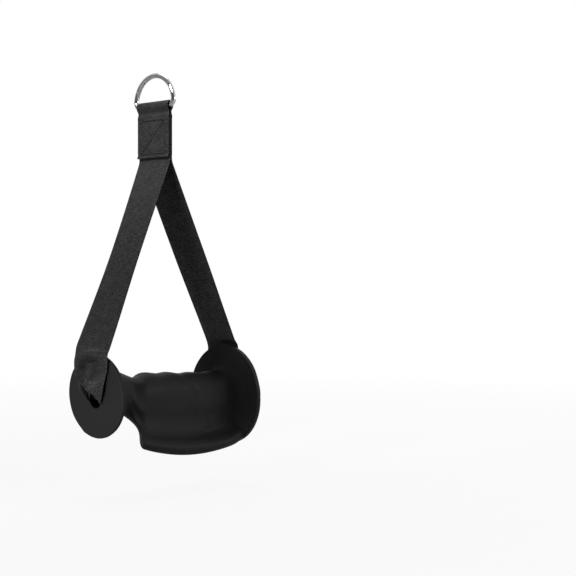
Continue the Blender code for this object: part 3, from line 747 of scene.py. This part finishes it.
# The pad's left end and its corner, and the sole's radius with the place where the sole is lowest
PAD_LEFT, PAD_CORNER, SOLE_RADIUS, SOLE_LOWEST = -39 * MM, 8 * MM, 205 * MM, 30 * MM
DISC_EDGE, DISC_FILLET, DISC_FLARE, DISC_ROUND = 3.3 * MM, 19 * MM, 2.6, 1.5 * MM
FLANGE_EDGE, FLANGE_SWEEP, FLANGE_FULL, FLANGE_ROUND = 4.5 * MM, 27 * MM, 0.94, 2.0 * MM
RIM_BEAD, DISH_DEPTH, DISH_REACH = 1.0 * MM, 1.2 * MM, 9 * MM
# Where the dish lies, as shares of the flange's radius: its start, its growth, its end and its fading
DISH_START, DISH_GROWTH, DISH_END, DISH_FADE = 0.42, 0.2, 0.95, 0.3
DISC_CENTRE, FLANGE_CENTRE = Vector((-2.1 * MM, 1.7 * MM)), Vector((-7.2 * MM, -5.1 * MM))
# The mouth's collar: depth behind the face and what it is wider than the mouth
MOUTH_ROUND, COLLAR = 1.4 * MM, ((2.8 * MM, 1.0 * MM), (2.7 * MM, 0.3 * MM), (2.4 * MM, 0.0))
COLLAR_DEPTH = 2.9 * MM
# The recess in the disc's face: an oval cut off by a slanting line, shallower close to the mouth
RECESS_DEPTH, RECESS_CENTRE, RECESS_RADII = 6.5 * MM, Vector((2 * MM, 12 * MM)), (17.5 * MM, 21 * MM)
RECESS_EDGE, RECESS_ACROSS = Vector((6.2 * MM, -3.6 * MM)), Vector((-0.614, 0.79))
RECESS_EDGE_WIDTH = 2.5 * MM
RECESS_WALL_SHARE, RECESS_LEAST_SHARE, RECESS_NEAR, RECESS_GROWTH = 0.35, 0.15, 10.5 * MM, 3 * MM
# The pad's left end: its reach along the grip, depth, slant, notch at half height and lower corner
END_REACH, END_DEPTH, END_SLANT, NOTCH, CORNER_OUT = 36 * MM, 25 * MM, 0.9, 3.2 * MM, 2.4 * MM
NOTCH_TOP, NOTCH_FOOT, NOTCH_FADE, CORNER_TOP, CORNER_FADE = 8 * MM, 36 * MM, 10 * MM, 32 * MM, 8 * MM
# The lower part of the flange's sweep leans out to the lip
FOOT_LEAN, FOOT_TOP, FOOT_REACH = 0.08, 5 * MM, 25 * MM
# The crease down the palm face, and the hollow inside the lip, as (x, height over the axis)
CREASE = (Vector((23 * MM, 14 * MM)), Vector((52 * MM, -32 * MM)))
LIP_HOLLOW = [Vector(place) * MM for place in ((44, -37), (56, -36), (66, -34), (73, -29), (77, -22))]
# Height, place beside the crease and width of the swell; height, run and ending of the band past it
SWELL, SWELL_ASIDE, SWELL_WIDTH = 1.3 * MM, 4 * MM, 6 * MM
BAND, BAND_RUN, BAND_END, BAND_FADE = 1.7 * MM, 9 * MM, 60 * MM, 16 * MM
HOLLOW, HOLLOW_WIDTH = 2.0 * MM, 4.5 * MM
# Shares of the crease's length where it starts, where it ends and over which it fades
CREASE_START_SHARE, CREASE_END_SHARE, CREASE_FADE_SHARE = -0.25, 1.15, 0.4
PALM_LEFT, PALM_RIGHT, PALM_FACING = -30 * MM, 79 * MM, 0.6


def around(radius_y, radius_z, turns, centre=Vector((0, 0))):
    turned = [math.radians(t) for t in turns]
    return [centre + Vector((-radius_y * math.sin(t), radius_z * math.cos(t))) for t in turned]


def half_wave(turn):
    return (1 + math.cos(turn)) / 2


def tube_wall(sizes, x, turn):
    """Wall over the bore: a waist with the neck on one side of it and the hip on the other."""
    palm = smooth_step(math.sin(turn)) if math.sin(turn) > 0 else 0.0
    waist = FIRST_GROOVE - PALM_SHIFT * palm
    if x < waist:
        return WAIST_WALL + NECK_SLOPE * (waist - x) * half_wave(turn)
    heel, hip = flange_x(sizes) - FLANGE_SWEEP, waist + WAIST_HALF
    if x <= hip:
        return WAIST_WALL + HIP_RISE * smooth_step((x - waist) / WAIST_HALF)
    return WAIST_WALL + HIP_RISE - HEEL_LOSS * smooth_step((x - hip) / (heel - hip))


def finger_groove(x, turn):
    phase = math.cos(2 * math.pi * (x - FIRST_GROOVE) / FINGER_PITCH)
    back = half_wave(turn - GROOVE_TURN) ** 3
    top = max(0.0, math.cos(turn)) ** 3 * (1 - back)
    fade = smooth_step((x - FIRST_GROOVE) / WAIST_HALF)
    return phase * fade * (GROOVE_DEPTH * back + TOP_GROOVE_DEPTH * top)


def pad_end(x):
    return min(1.0, max(0.0, (PAD_LEFT + PAD_CORNER - x) / PAD_CORNER))


def pad_fullness(x):
    return (1 - pad_end(x) ** 4) ** 0.25 if x > PAD_LEFT else 0.0


def pad_points(sizes, x):
    drop = sizes.pad_drop - (SOLE_RADIUS - math.sqrt(SOLE_RADIUS ** 2 - (x - SOLE_LOWEST) ** 2))
    fullness = (1 - pad_end(x) ** 3) ** (1 / 3)
    points = [Vector((-sizes.lip_reach * reach, -drop * down)) for reach, down in PAD_SHARES]
    return [point.lerp((point + facing) / 2, 1 - fullness) for point, facing in zip(points, points[::-1])]


def sweep_share(sizes, x, sweep=FLANGE_SWEEP):
    back = flange_x(sizes) - FLANGE_EDGE
    return min(1.0, max(0.0, 1 - (back - x) / (sweep - FLANGE_EDGE)))


def grip_section(sizes, x, full=FLANGE_FULL):
    """The grip's cross-section at x, as a closed smooth line of (y, height over the axis).

    full is how much of the way to the flange's rim the section has gone at the flange's back.
    """
    keys = []
    for turn in map(math.radians, ROUND_TURNS):
        radius = sizes.bore + tube_wall(sizes, x, turn) - finger_groove(x, turn)
        keys.append(Vector((-radius * math.sin(turn), radius * math.cos(turn))))
    if x > PAD_LEFT:
        first, last = len(TOP_TURNS), len(TOP_TURNS) + len(PAD_TURNS)
        pad = zip(keys[first:last], pad_points(sizes, x))
        keys[first:last] = [a.lerp(b, pad_fullness(x)) for a, b in pad]
    disc_back = disc_x(sizes) + DISC_EDGE
    if x < disc_back + DISC_FILLET:
        flare = min(1.0, (disc_back + DISC_FILLET - x) / DISC_FILLET) ** DISC_FLARE
        disc = around(sizes.disc_radius, sizes.disc_radius, ROUND_TURNS, DISC_CENTRE)
        keys = [a.lerp(b, flare) for a, b in zip(keys, disc)]
    flange = around(sizes.flange_half_width, sizes.flange_half_height, FLANGE_TURNS, FLANGE_CENTRE)
    section = []
    for key, rim, sweep in zip(keys, flange, SWEEPS):
        flare = 1 - math.sqrt(1 - sweep_share(sizes, x, sweep * MM) ** 3)
        section.append(key.lerp(rim, full * flare))
    return curve_through(section, STEPS_PER_KEY, closed=True)


def dish(sizes, point):
    """How far the flange's inner wall is sunk between the tube and its raised edge."""
    from_centre = point - FLANGE_CENTRE
    share = math.hypot(from_centre.x / sizes.flange_half_width, from_centre.y / sizes.flange_half_height)
    growing, fading = (share - DISH_START) / DISH_GROWTH, (DISH_END - share) / DISH_FADE
    return DISH_DEPTH * smooth_step(growing) * smooth_step(fading)


def left_end_shift(y, z):
    """How far the pad's left end stands back at a place: it slants, with a notch and a lower corner."""
    behind = min(END_DEPTH, max(0.0, END_DEPTH + y))
    slant = END_SLANT * behind * smooth_step(-z / END_DEPTH)
    notch = smooth_step((-z - NOTCH_TOP) / NOTCH_FADE) * smooth_step((NOTCH_FOOT + z) / NOTCH_FADE)
    return slant + NOTCH * notch - CORNER_OUT * smooth_step((-z - CORNER_TOP) / CORNER_FADE)


def leaned(sizes, x, points):
    """The section's points in space: disc and flange are tilted and the pad's left end is slanted."""
    at_flange = smooth_step(sweep_share(sizes, x))
    near_flange = smooth_step((x - flange_x(sizes) + FLANGE_EDGE + DISH_REACH) / DISH_REACH)
    near_flange *= smooth_step((flange_x(sizes) - FLANGE_EDGE / 2 - x) / (FLANGE_EDGE / 2))
    fillet_end = disc_x(sizes) + DISC_EDGE + DISC_FILLET
    disc_tilt = math.tan(DISC_TILT) * smooth_step((fillet_end - x) / DISC_FILLET)
    on_face = 1 - smooth_step((x - disc_x(sizes) - MOUTH_ROUND) / MOUTH_ROUND)
    at_end = pad_fullness(x) * (1 - smooth_step((x - PAD_LEFT) / END_REACH))
    row = []
    for point in points:
        y, z = point
        shift = at_end * left_end_shift(y, z) + near_flange * dish(sizes, point) + on_face * recess(point)
        shift += at_flange * FOOT_LEAN * max(0.0, -z - FOOT_TOP) * smooth_step(-y / FOOT_REACH)
        shift -= at_flange * math.tan(FLANGE_TILT) * y + disc_tilt * z
        row.append(Vector((x + shift, y, axis_z(sizes) + z)))
    return row


def quarter_turns(steps):
    return [math.pi / 2 * i / steps for i in range(steps + 1)]


def rim_rows(sizes, face, back, round_off, centre):
    """Rows round the rounded edge of an end face, the face's own first."""
    rows, outline = [], grip_section(sizes, back, 1.0)
    for turn in quarter_turns(RIM_STEPS):
        inset = round_off * (1 - math.sin(turn))
        points = [centre + (p - centre) * (1 - inset / (p - centre).length) for p in outline]
        rows.append((face + math.copysign(round_off, back - face) * (1 - math.cos(turn)), points))
    return rows


def mouth_rows(sizes, face, back):
    """Rows of the bore's mouth, from inside the bore over its narrow collar out to the face."""
    inward = math.copysign(1, back - face)
    profile = [(COLLAR_DEPTH, sizes.bore)] + [(depth, sizes.mouth + wider) for depth, wider in COLLAR]
    for turn in quarter_turns(MOUTH_STEPS):
        depth, wider = MOUTH_ROUND * (1 - math.sin(turn)), MOUTH_ROUND * (1 - math.cos(turn))
        profile.append((depth, sizes.mouth + wider))
    rows = []
    for depth, radius in profile:
        share = 1.0 if radius < sizes.bore else 0.0
        circle = around(radius, radius, ROUND_TURNS)
        keys = [key * (1 + share * (wide - 1)) for key, wide in zip(circle, MOUTH_SHAPE)]
        rows.append((face + inward * depth, curve_through(keys, STEPS_PER_KEY, closed=True)))
    return rows


def face_rows(face, inner, outer):
    """Rows over an end face between its mouth and its rim."""
    rings = [[a.lerp(b, i / FACE_STEPS) for a, b in zip(inner, outer)] for i in range(1, FACE_STEPS)]
    return [(face, ring) for ring in rings]


def recess(point):
    """How far the disc's face is sunk round the bore's mouth, where the strap dives in."""
    from_centre = point - RECESS_CENTRE
    away = math.hypot(from_centre.x / RECESS_RADII[0], from_centre.y / RECESS_RADII[1])
    over_line = smooth_step((point - RECESS_EDGE).dot(RECESS_ACROSS) / RECESS_EDGE_WIDTH)
    off_mouth = smooth_step((point.length - RECESS_NEAR) / RECESS_GROWTH)
    share = RECESS_LEAST_SHARE + (1 - RECESS_LEAST_SHARE) * off_mouth
    return RECESS_DEPTH * share * smooth_step((1 - away) / RECESS_WALL_SHARE) * over_line


def grip_rows(sizes):
    disc, flange = disc_x(sizes), flange_x(sizes)
    disc_back, flange_back = disc + DISC_EDGE, flange - FLANGE_EDGE
    disc_mouth, flange_mouth = mouth_rows(sizes, disc, disc_back), mouth_rows(sizes, flange, flange_back)
    disc_rim = rim_rows(sizes, disc, disc_back, DISC_ROUND, DISC_CENTRE)
    flange_rim = rim_rows(sizes, flange, flange_back, FLANGE_ROUND, FLANGE_CENTRE)
    body, sweep = PAD_LEFT + PAD_CORNER, flange - FLANGE_SWEEP
    stations = [disc_back + (PAD_LEFT - disc_back) * i / NECK_STEPS for i in range(NECK_STEPS)]
    crowded = [(i / PAD_END_STEPS) ** PAD_END_CROWDING for i in range(PAD_END_STEPS + 1)]
    stations += [PAD_LEFT + PAD_CORNER * share for share in crowded]
    stations += [body + (sweep - body) * i / BODY_STEPS for i in range(1, BODY_STEPS + 1)]
    stations += [sweep + (flange_back - sweep) * math.sin(turn) for turn in quarter_turns(SWEEP_STEPS)[1:]]
    rows = disc_mouth + face_rows(disc, disc_mouth[-1][1], disc_rim[0][1]) + disc_rim
    rows += [(x, grip_section(sizes, x)) for x in stations]
    for lift, full in BEAD_SHARES:
        rows.append((flange_back + RIM_BEAD * lift, grip_section(sizes, flange_back, full)))
    rows += flange_rim[::-1]
    rows += face_rows(flange, flange_mouth[-1][1], flange_rim[0][1])[::-1]
    rows += flange_mouth[::-1]
    return [leaned(sizes, x, points) for x, points in rows]


def palm_relief(x, z):
    """How far the palm face swells (+) or sinks (-) at x and a height over the axis, beside its crease."""
    start, end = CREASE
    line = end - start
    point = Vector((x, z)) - start
    share = point.dot(line) / line.length_squared
    aside = line.normalized().cross(point)
    fade = smooth_step((share - CREASE_START_SHARE) / CREASE_FADE_SHARE)
    fade *= smooth_step((CREASE_END_SHARE - share) / CREASE_FADE_SHARE)
    swell = SWELL * math.exp(-((aside + SWELL_ASIDE) / SWELL_WIDTH) ** 2)
    band = BAND * smooth_step(aside / BAND_RUN) * (1 - smooth_step((x - BAND_END) / BAND_FADE))
    from_hollow = line_distance(list(zip(LIP_HOLLOW, LIP_HOLLOW[1:])), Vector((x, z)))
    return fade * (swell + band) - HOLLOW * math.exp(-(from_hollow / HOLLOW_WIDTH) ** 2)


class HANDLE_OT_grip(bpy.types.Operator):
    """Moulds the grip's cover: end disc, neck, finger grooves, palm pad with its lip, and flange"""

    bl_idname = "handle.grip"
    bl_label = "Grip cover"

    def execute(self, context):
        sizes = context.scene.handle_sizes
        rows = grip_rows(sizes)
        rows = [row + row[:1] for row in rows + rows[:1]]
        cover = shaped_grid("moulded_grip", rows)
        close_shell(cover)
        edit_whole(cover)
        bpy.ops.mesh.vertices_smooth(factor=0.5, repeat=SMOOTH_PASSES)
        bpy.ops.object.mode_set(mode="OBJECT")
        cover.data.update()
        for vertex in cover.data.vertices:
            facing = smooth_step(-vertex.normal.y / PALM_FACING)
            if facing and PALM_LEFT < vertex.co.x < PALM_RIGHT:
                vertex.co += vertex.normal * palm_relief(vertex.co.x, vertex.co.z - axis_z(sizes)) * facing
        settle(cover)
        cover.data.materials.append(rubber(context.scene.handle_colours.rubber))
        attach(cover, "grip")
        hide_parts("grip_cover")
        return {"FINISHED"}


# Core tube


class HANDLE_OT_core(bpy.types.Operator):
    """Finishes the core tube inside the grip"""

    bl_idname = "handle.core"
    bl_label = "Core tube"

    def execute(self, context):
        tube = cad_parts["core_tube"]
        finish = liner(context.scene.handle_colours.liner)
        for slot in tube.material_slots:
            slot.material = finish
        return {"FINISHED"}


# Finishes


class Nodes:
    """A node tree being built: its nodes are added and linked one after another."""

    def __init__(self, tree):
        self.tree = tree

    def node(self, kind, inputs=None, **settings):
        added = self.tree.nodes.new(kind)
        for key, value in settings.items():
            setattr(added, key, value)
        for key, value in (inputs or {}).items():
            self.feed(added.inputs[key], value)
        return added

    def feed(self, socket, value):
        """Links another node's output to the socket, or sets the socket to a plain value."""
        if isinstance(value, bpy.types.NodeSocket):
            self.tree.links.new(value, socket)
        else:
            socket.default_value = value

    def math(self, operation, a, b=0.0):
        return self.node("ShaderNodeMath", {0: a, 1: b}, operation=operation).outputs[0]

    def between(self, value, low, high, from_low=0.0, from_high=1.0):
        return self.node("ShaderNodeMapRange", {
            "Value": value, "From Min": from_low, "From Max": from_high, "To Min": low, "To Max": high,
        }).outputs["Result"]


class Finish(Nodes):
    """A material being built on its Principled shader."""

    def __init__(self, name):
        self.made = bpy.data.materials.new(name)
        self.made.use_nodes = True
        super().__init__(self.made.node_tree)
        self.shader = self.tree.nodes["Principled BSDF"]

    def set(self, name, value):
        self.feed(self.shader.inputs[name], value)

    def place(self):
        return self.node("ShaderNodeTexCoord").outputs["Object"]

    def noise(self, vector, scale, detail):
        inputs = {"Vector": vector, "Scale": scale, "Detail": detail}
        return self.node("ShaderNodeTexNoise", inputs).outputs["Fac"]

    def stretched_noise(self, vector, scale, detail):
        stretched = self.node("ShaderNodeMapping", {"Vector": vector, "Scale": scale}).outputs["Vector"]
        return self.noise(stretched, 1.0, detail)

    def shades(self, share, colour, dark, light):
        """Makes the base colour run between a darker and a lighter shade of one colour."""
        shade_a, shade_b = ((*(min(1.0, c * factor) for c in colour), 1) for factor in (dark, light))
        mix = self.node("ShaderNodeMix", {"Factor": share, "A": shade_a, "B": shade_b}, data_type="RGBA")
        self.set("Base Color", next(output for output in mix.outputs if output.type == "RGBA"))

    def bump(self, height, strength, distance):
        inputs = {"Height": height, "Strength": strength, "Distance": distance}
        self.set("Normal", self.node("ShaderNodeBump", inputs).outputs["Normal"])


def rubber(colour):
    """Satin rubber, faintly mottled, with a fine grain."""
    finish = Finish("satin_rubber")
    place = finish.place()
    mottle = finish.noise(place, 45, 4)
    grain = finish.noise(place, 2600, 2)
    finish.shades(mottle, colour, 0.85, 1.15)
    finish.set("Roughness", finish.between(mottle, 0.54, 0.62, 0.3, 0.7))
    finish.bump(grain, 0.12, 0.15 * MM)
    finish.set("Specular IOR Level", 0.15)
    return finish.made


def webbing(colour):
    """Ribs across the webbing, broken into short floats by the warp, with uneven streaks of sheen; painted
    shade darkens the base colour in the gaps between the floats.
    """
    finish = Finish("woven_webbing")
    uv = finish.node("ShaderNodeUVMap", uv_map="weave").outputs["UV"]
    split = finish.node("ShaderNodeSeparateXYZ", {0: uv}).outputs
    column = finish.math("DIVIDE", split["X"], WARP_PITCH)
    offset = finish.math("MULTIPLY", finish.math("FLOOR", column), 0.5)
    rib = finish.math("FRACT", finish.math("ADD", finish.math("DIVIDE", split["Y"], WEFT_PITCH), offset))
    round_column = finish.math("SINE", finish.math("MULTIPLY", finish.math("FRACT", column), math.pi))
    round_rib = finish.math("SINE", finish.math("MULTIPLY", rib, math.pi))
    weave = finish.math("MULTIPLY", round_column, round_rib)
    weft = finish.stretched_noise(uv, (200, 1500, 1), 3)
    patch = finish.stretched_noise(uv, (90, 130, 1), 3)
    streaks = finish.between(weft, 0.45, 1.35, 0.35, 0.65)
    # Painted shade: the weave's relief darkens the base colour in the gaps between the floats, on top of its
    # bump
    share = finish.math("MULTIPLY", finish.between(weave, 0.25, 1.0), streaks)
    share = finish.math("MULTIPLY", share, finish.between(patch, 0.85, 1.15, 0.35, 0.65))
    finish.shades(share, colour, 0.3, 1.9)
    finish.set("Roughness", finish.between(share, 0.8, 0.45))
    finish.set("Specular IOR Level", finish.between(share, 0.05, 0.4))
    finish.bump(finish.math("ADD", weave, finish.math("MULTIPLY", weft, 1.2)), 0.35, 0.3 * MM)
    finish.set("Sheen Weight", 0.05)
    finish.set("Sheen Roughness", 0.4)
    return finish.made


def thread(colour):
    """Bonded sewing thread with the unevenness of its twist."""
    finish = Finish("bonded_thread")
    twist = finish.noise(finish.place(), 1800, 2)
    finish.shades(twist, colour, 0.7, 1.4)
    finish.set("Roughness", finish.between(twist, 0.45, 0.65))
    finish.bump(twist, 0.4, 0.1 * MM)
    finish.set("Specular IOR Level", 0.35)
    return finish.made


def chrome(colour):
    """Bright plating with faint smears and fine scratches."""
    finish = Finish("bright_chrome")
    place = finish.place()
    smear = finish.noise(place, 160, 3)
    scratch = finish.stretched_noise(place, (900, 120, 900), 2)
    finish.shades(smear, colour, 0.9, 1.0)
    finish.set("Roughness", finish.between(smear, 0.05, 0.13, 0.35, 0.7))
    finish.bump(scratch, 0.04, 0.1 * MM)
    finish.set("Metallic", 1.0)
    return finish.made


def liner(colour):
    """Extruded plastic with drawn lines along the tube."""
    finish = Finish("extruded_plastic")
    drawn = finish.stretched_noise(finish.place(), (20, 700, 700), 3)
    finish.shades(drawn, colour, 0.8, 1.3)
    finish.set("Roughness", finish.between(drawn, 0.4, 0.6))
    finish.bump(drawn, 0.2, 0.1 * MM)
    return finish.made


# Studio

WHITE = (1, 1, 1, 1)
FLOOR_DROP, FLOOR_SIZE, FLOOR_CELLS = 30 * MM, 14, 4
# How much of the floor's colour is plain white to the camera near the middle and far off, and where
FLOOR_WHITE_SHARES, FLOOR_FADE = (0.9, 1.0), (0.3, 1.5)
# Strength of the even light from all round
AMBIENT = 0.12
# The side that reflections see as bright, with the least and the full strength and where each is reached
BRIGHT_SIDE, ROOM_STRENGTHS, ROOM_FADE = (0.95, 0.3, 0.1), (0.1, 1.0), (-0.7, 0.6)
# Each soft light's name, place, aim, width, power in watts and, for a spotlight, cone in degrees
LIGHTS = (
    ("left", (-0.62, 0.0, -0.25), (-0.07, 0, -0.28), 0.2, 10.5, 38),
    ("high", (-0.30, -0.06, 0.17), (0, 0, -0.05), 0.12, 10, 24),
    ("behind", (0.2, 0.35, 1.2), (0, 0, -0.2), 0.8, 7, None),
    ("right", (0.52, -1.12, 0.0), (0, 0, -0.27), 0.6, 4.6, None),
)
SPOT_BLEND = 0.7
# The photograph's viewpoint: place, downward tilt, turn about the vertical and lens
CAMERA_PLACE, CAMERA_LENS = (-0.78983, -0.87223, -0.176), 84.71
CAMERA_DIP, CAMERA_TURN = math.radians(0.2486), math.radians(-47.7712)


class HANDLE_OT_stage(bpy.types.Operator):
    """Sets up the floor, the white surroundings, the soft lights and the camera"""

    bl_idname = "handle.stage"
    bl_label = "Studio"

    def execute(self, context):
        scene = context.scene
        scene.view_settings.view_transform = "Standard"
        self.floor(context)
        self.surroundings(scene)
        for light in LIGHTS:
            self.light(scene, *light)
        data = bpy.data.cameras.new("view")
        data.lens = CAMERA_LENS
        camera = bpy.data.objects.new("view", data)
        scene.collection.objects.link(camera)
        camera.location = CAMERA_PLACE
        camera.rotation_euler = (math.pi / 2 - CAMERA_DIP, 0, CAMERA_TURN)
        scene.camera = camera
        return {"FINISHED"}

    def floor(self, context):
        """A pale floor that keeps the handle's shadow and fades to plain white far off."""
        deselect_all()
        low = cad_bounds[0][2] - FLOOR_DROP
        bpy.ops.mesh.primitive_grid_add(
            x_subdivisions=FLOOR_CELLS, y_subdivisions=FLOOR_CELLS, size=FLOOR_SIZE, location=(0, 0, low))
        floor = named("floor")
        settle(floor)
        finish = Finish("pale_floor")
        finish.set("Base Color", (*context.scene.handle_colours.floor, 1))
        finish.set("Roughness", 0.9)
        finish.set("Specular IOR Level", 0.1)
        rays = finish.node("ShaderNodeLightPath").outputs
        seen = finish.math("MAXIMUM", rays["Is Camera Ray"], rays["Is Transmission Ray"])
        white = finish.node("ShaderNodeEmission", {"Color": WHITE, "Strength": 1.0}).outputs[0]
        away = finish.node("ShaderNodeVectorMath", {0: finish.place()}, operation="LENGTH").outputs["Value"]
        share = finish.math("MULTIPLY", seen, finish.between(away, *FLOOR_WHITE_SHARES, *FLOOR_FADE))
        mixed = finish.node("ShaderNodeMixShader", {0: share, 1: finish.shader.outputs[0], 2: white})
        finish.feed(finish.tree.nodes["Material Output"].inputs["Surface"], mixed.outputs[0])
        floor.data.materials.append(finish.made)

    def surroundings(self, scene):
        """Dim even light; the camera sees white, and reflections see a room that is bright on one side."""
        world = bpy.data.worlds.new("white_studio")
        world.use_nodes = True
        nodes = Nodes(world.node_tree)
        plain = nodes.tree.nodes["Background"]
        nodes.feed(plain.inputs["Color"], WHITE)
        nodes.feed(plain.inputs["Strength"], AMBIENT)
        white = nodes.node("ShaderNodeBackground", {"Color": WHITE}).outputs[0]
        rays = nodes.node("ShaderNodeLightPath").outputs
        towards = nodes.node("ShaderNodeTexCoord").outputs["Generated"]
        facing = nodes.node("ShaderNodeVectorMath", {0: towards, 1: BRIGHT_SIDE}, operation="DOT_PRODUCT")
        room = nodes.between(facing.outputs["Value"], *ROOM_STRENGTHS, *ROOM_FADE)
        mirrored = nodes.node("ShaderNodeBackground", {"Color": WHITE, "Strength": room}).outputs[0]
        reflected = nodes.math("MAXIMUM", rays["Is Glossy Ray"], rays["Is Transmission Ray"])
        surface = plain.outputs[0]
        for share, shown in ((reflected, mirrored), (rays["Is Camera Ray"], white)):
            surface = nodes.node("ShaderNodeMixShader", {0: share, 1: surface, 2: shown}).outputs[0]
        nodes.feed(nodes.tree.nodes["World Output"].inputs["Surface"], surface)
        scene.world = world

    def light(self, scene, name, place, aim, size, power, cone):
        """A round soft light; with a cone it is a spotlight."""
        data = bpy.data.lights.new(name, "SPOT" if cone else "AREA")
        if cone:
            data.spot_size = math.radians(cone)
            data.spot_blend = SPOT_BLEND
            data.shadow_soft_size = size / 2
        else:
            data.shape = "DISK"
            data.size = size
        data.energy = power
        lamp = bpy.data.objects.new(name, data)
        lamp.location = place
        lamp.rotation_euler = (Vector(aim) - Vector(place)).to_track_quat("-Z", "Y").to_euler()
        scene.collection.objects.link(lamp)


class HANDLE_PT_pieces(bpy.types.Panel):
    """Lists the handle's pieces in the sidebar"""

    bl_idname = "HANDLE_PT_pieces"
    bl_label = "Cable handle"
    bl_space_type = "VIEW_3D"
    bl_region_type = "UI"
    bl_category = "Handle"

    def draw(self, context):
        layout = self.layout
        for operator in OPERATORS:
            layout.operator(operator.bl_idname)
        for group in (context.scene.handle_sizes, context.scene.handle_colours):
            box = layout.box()
            for name in group.__annotations__:
                box.prop(group, name)


OPERATORS = (
    HANDLE_OT_stage, HANDLE_OT_d_ring, HANDLE_OT_webbing, HANDLE_OT_stitches, HANDLE_OT_grip, HANDLE_OT_core,
)
CLASSES = (HandleSizes, HandleColours, *OPERATORS, HANDLE_PT_pieces)


def register():
    for cls in CLASSES:
        bpy.utils.register_class(cls)
    bpy.types.Scene.handle_sizes = PointerProperty(type=HandleSizes)
    bpy.types.Scene.handle_colours = PointerProperty(type=HandleColours)


def unregister():
    del bpy.types.Scene.handle_colours
    del bpy.types.Scene.handle_sizes
    for cls in reversed(CLASSES):
        bpy.utils.unregister_class(cls)


def main():
    register()
    bpy.ops.handle.stage()
    bpy.ops.handle.d_ring()
    bpy.ops.handle.webbing()
    bpy.ops.handle.stitches()
    bpy.ops.handle.grip()
    bpy.ops.handle.core()


if __name__ == "__main__":
    main()
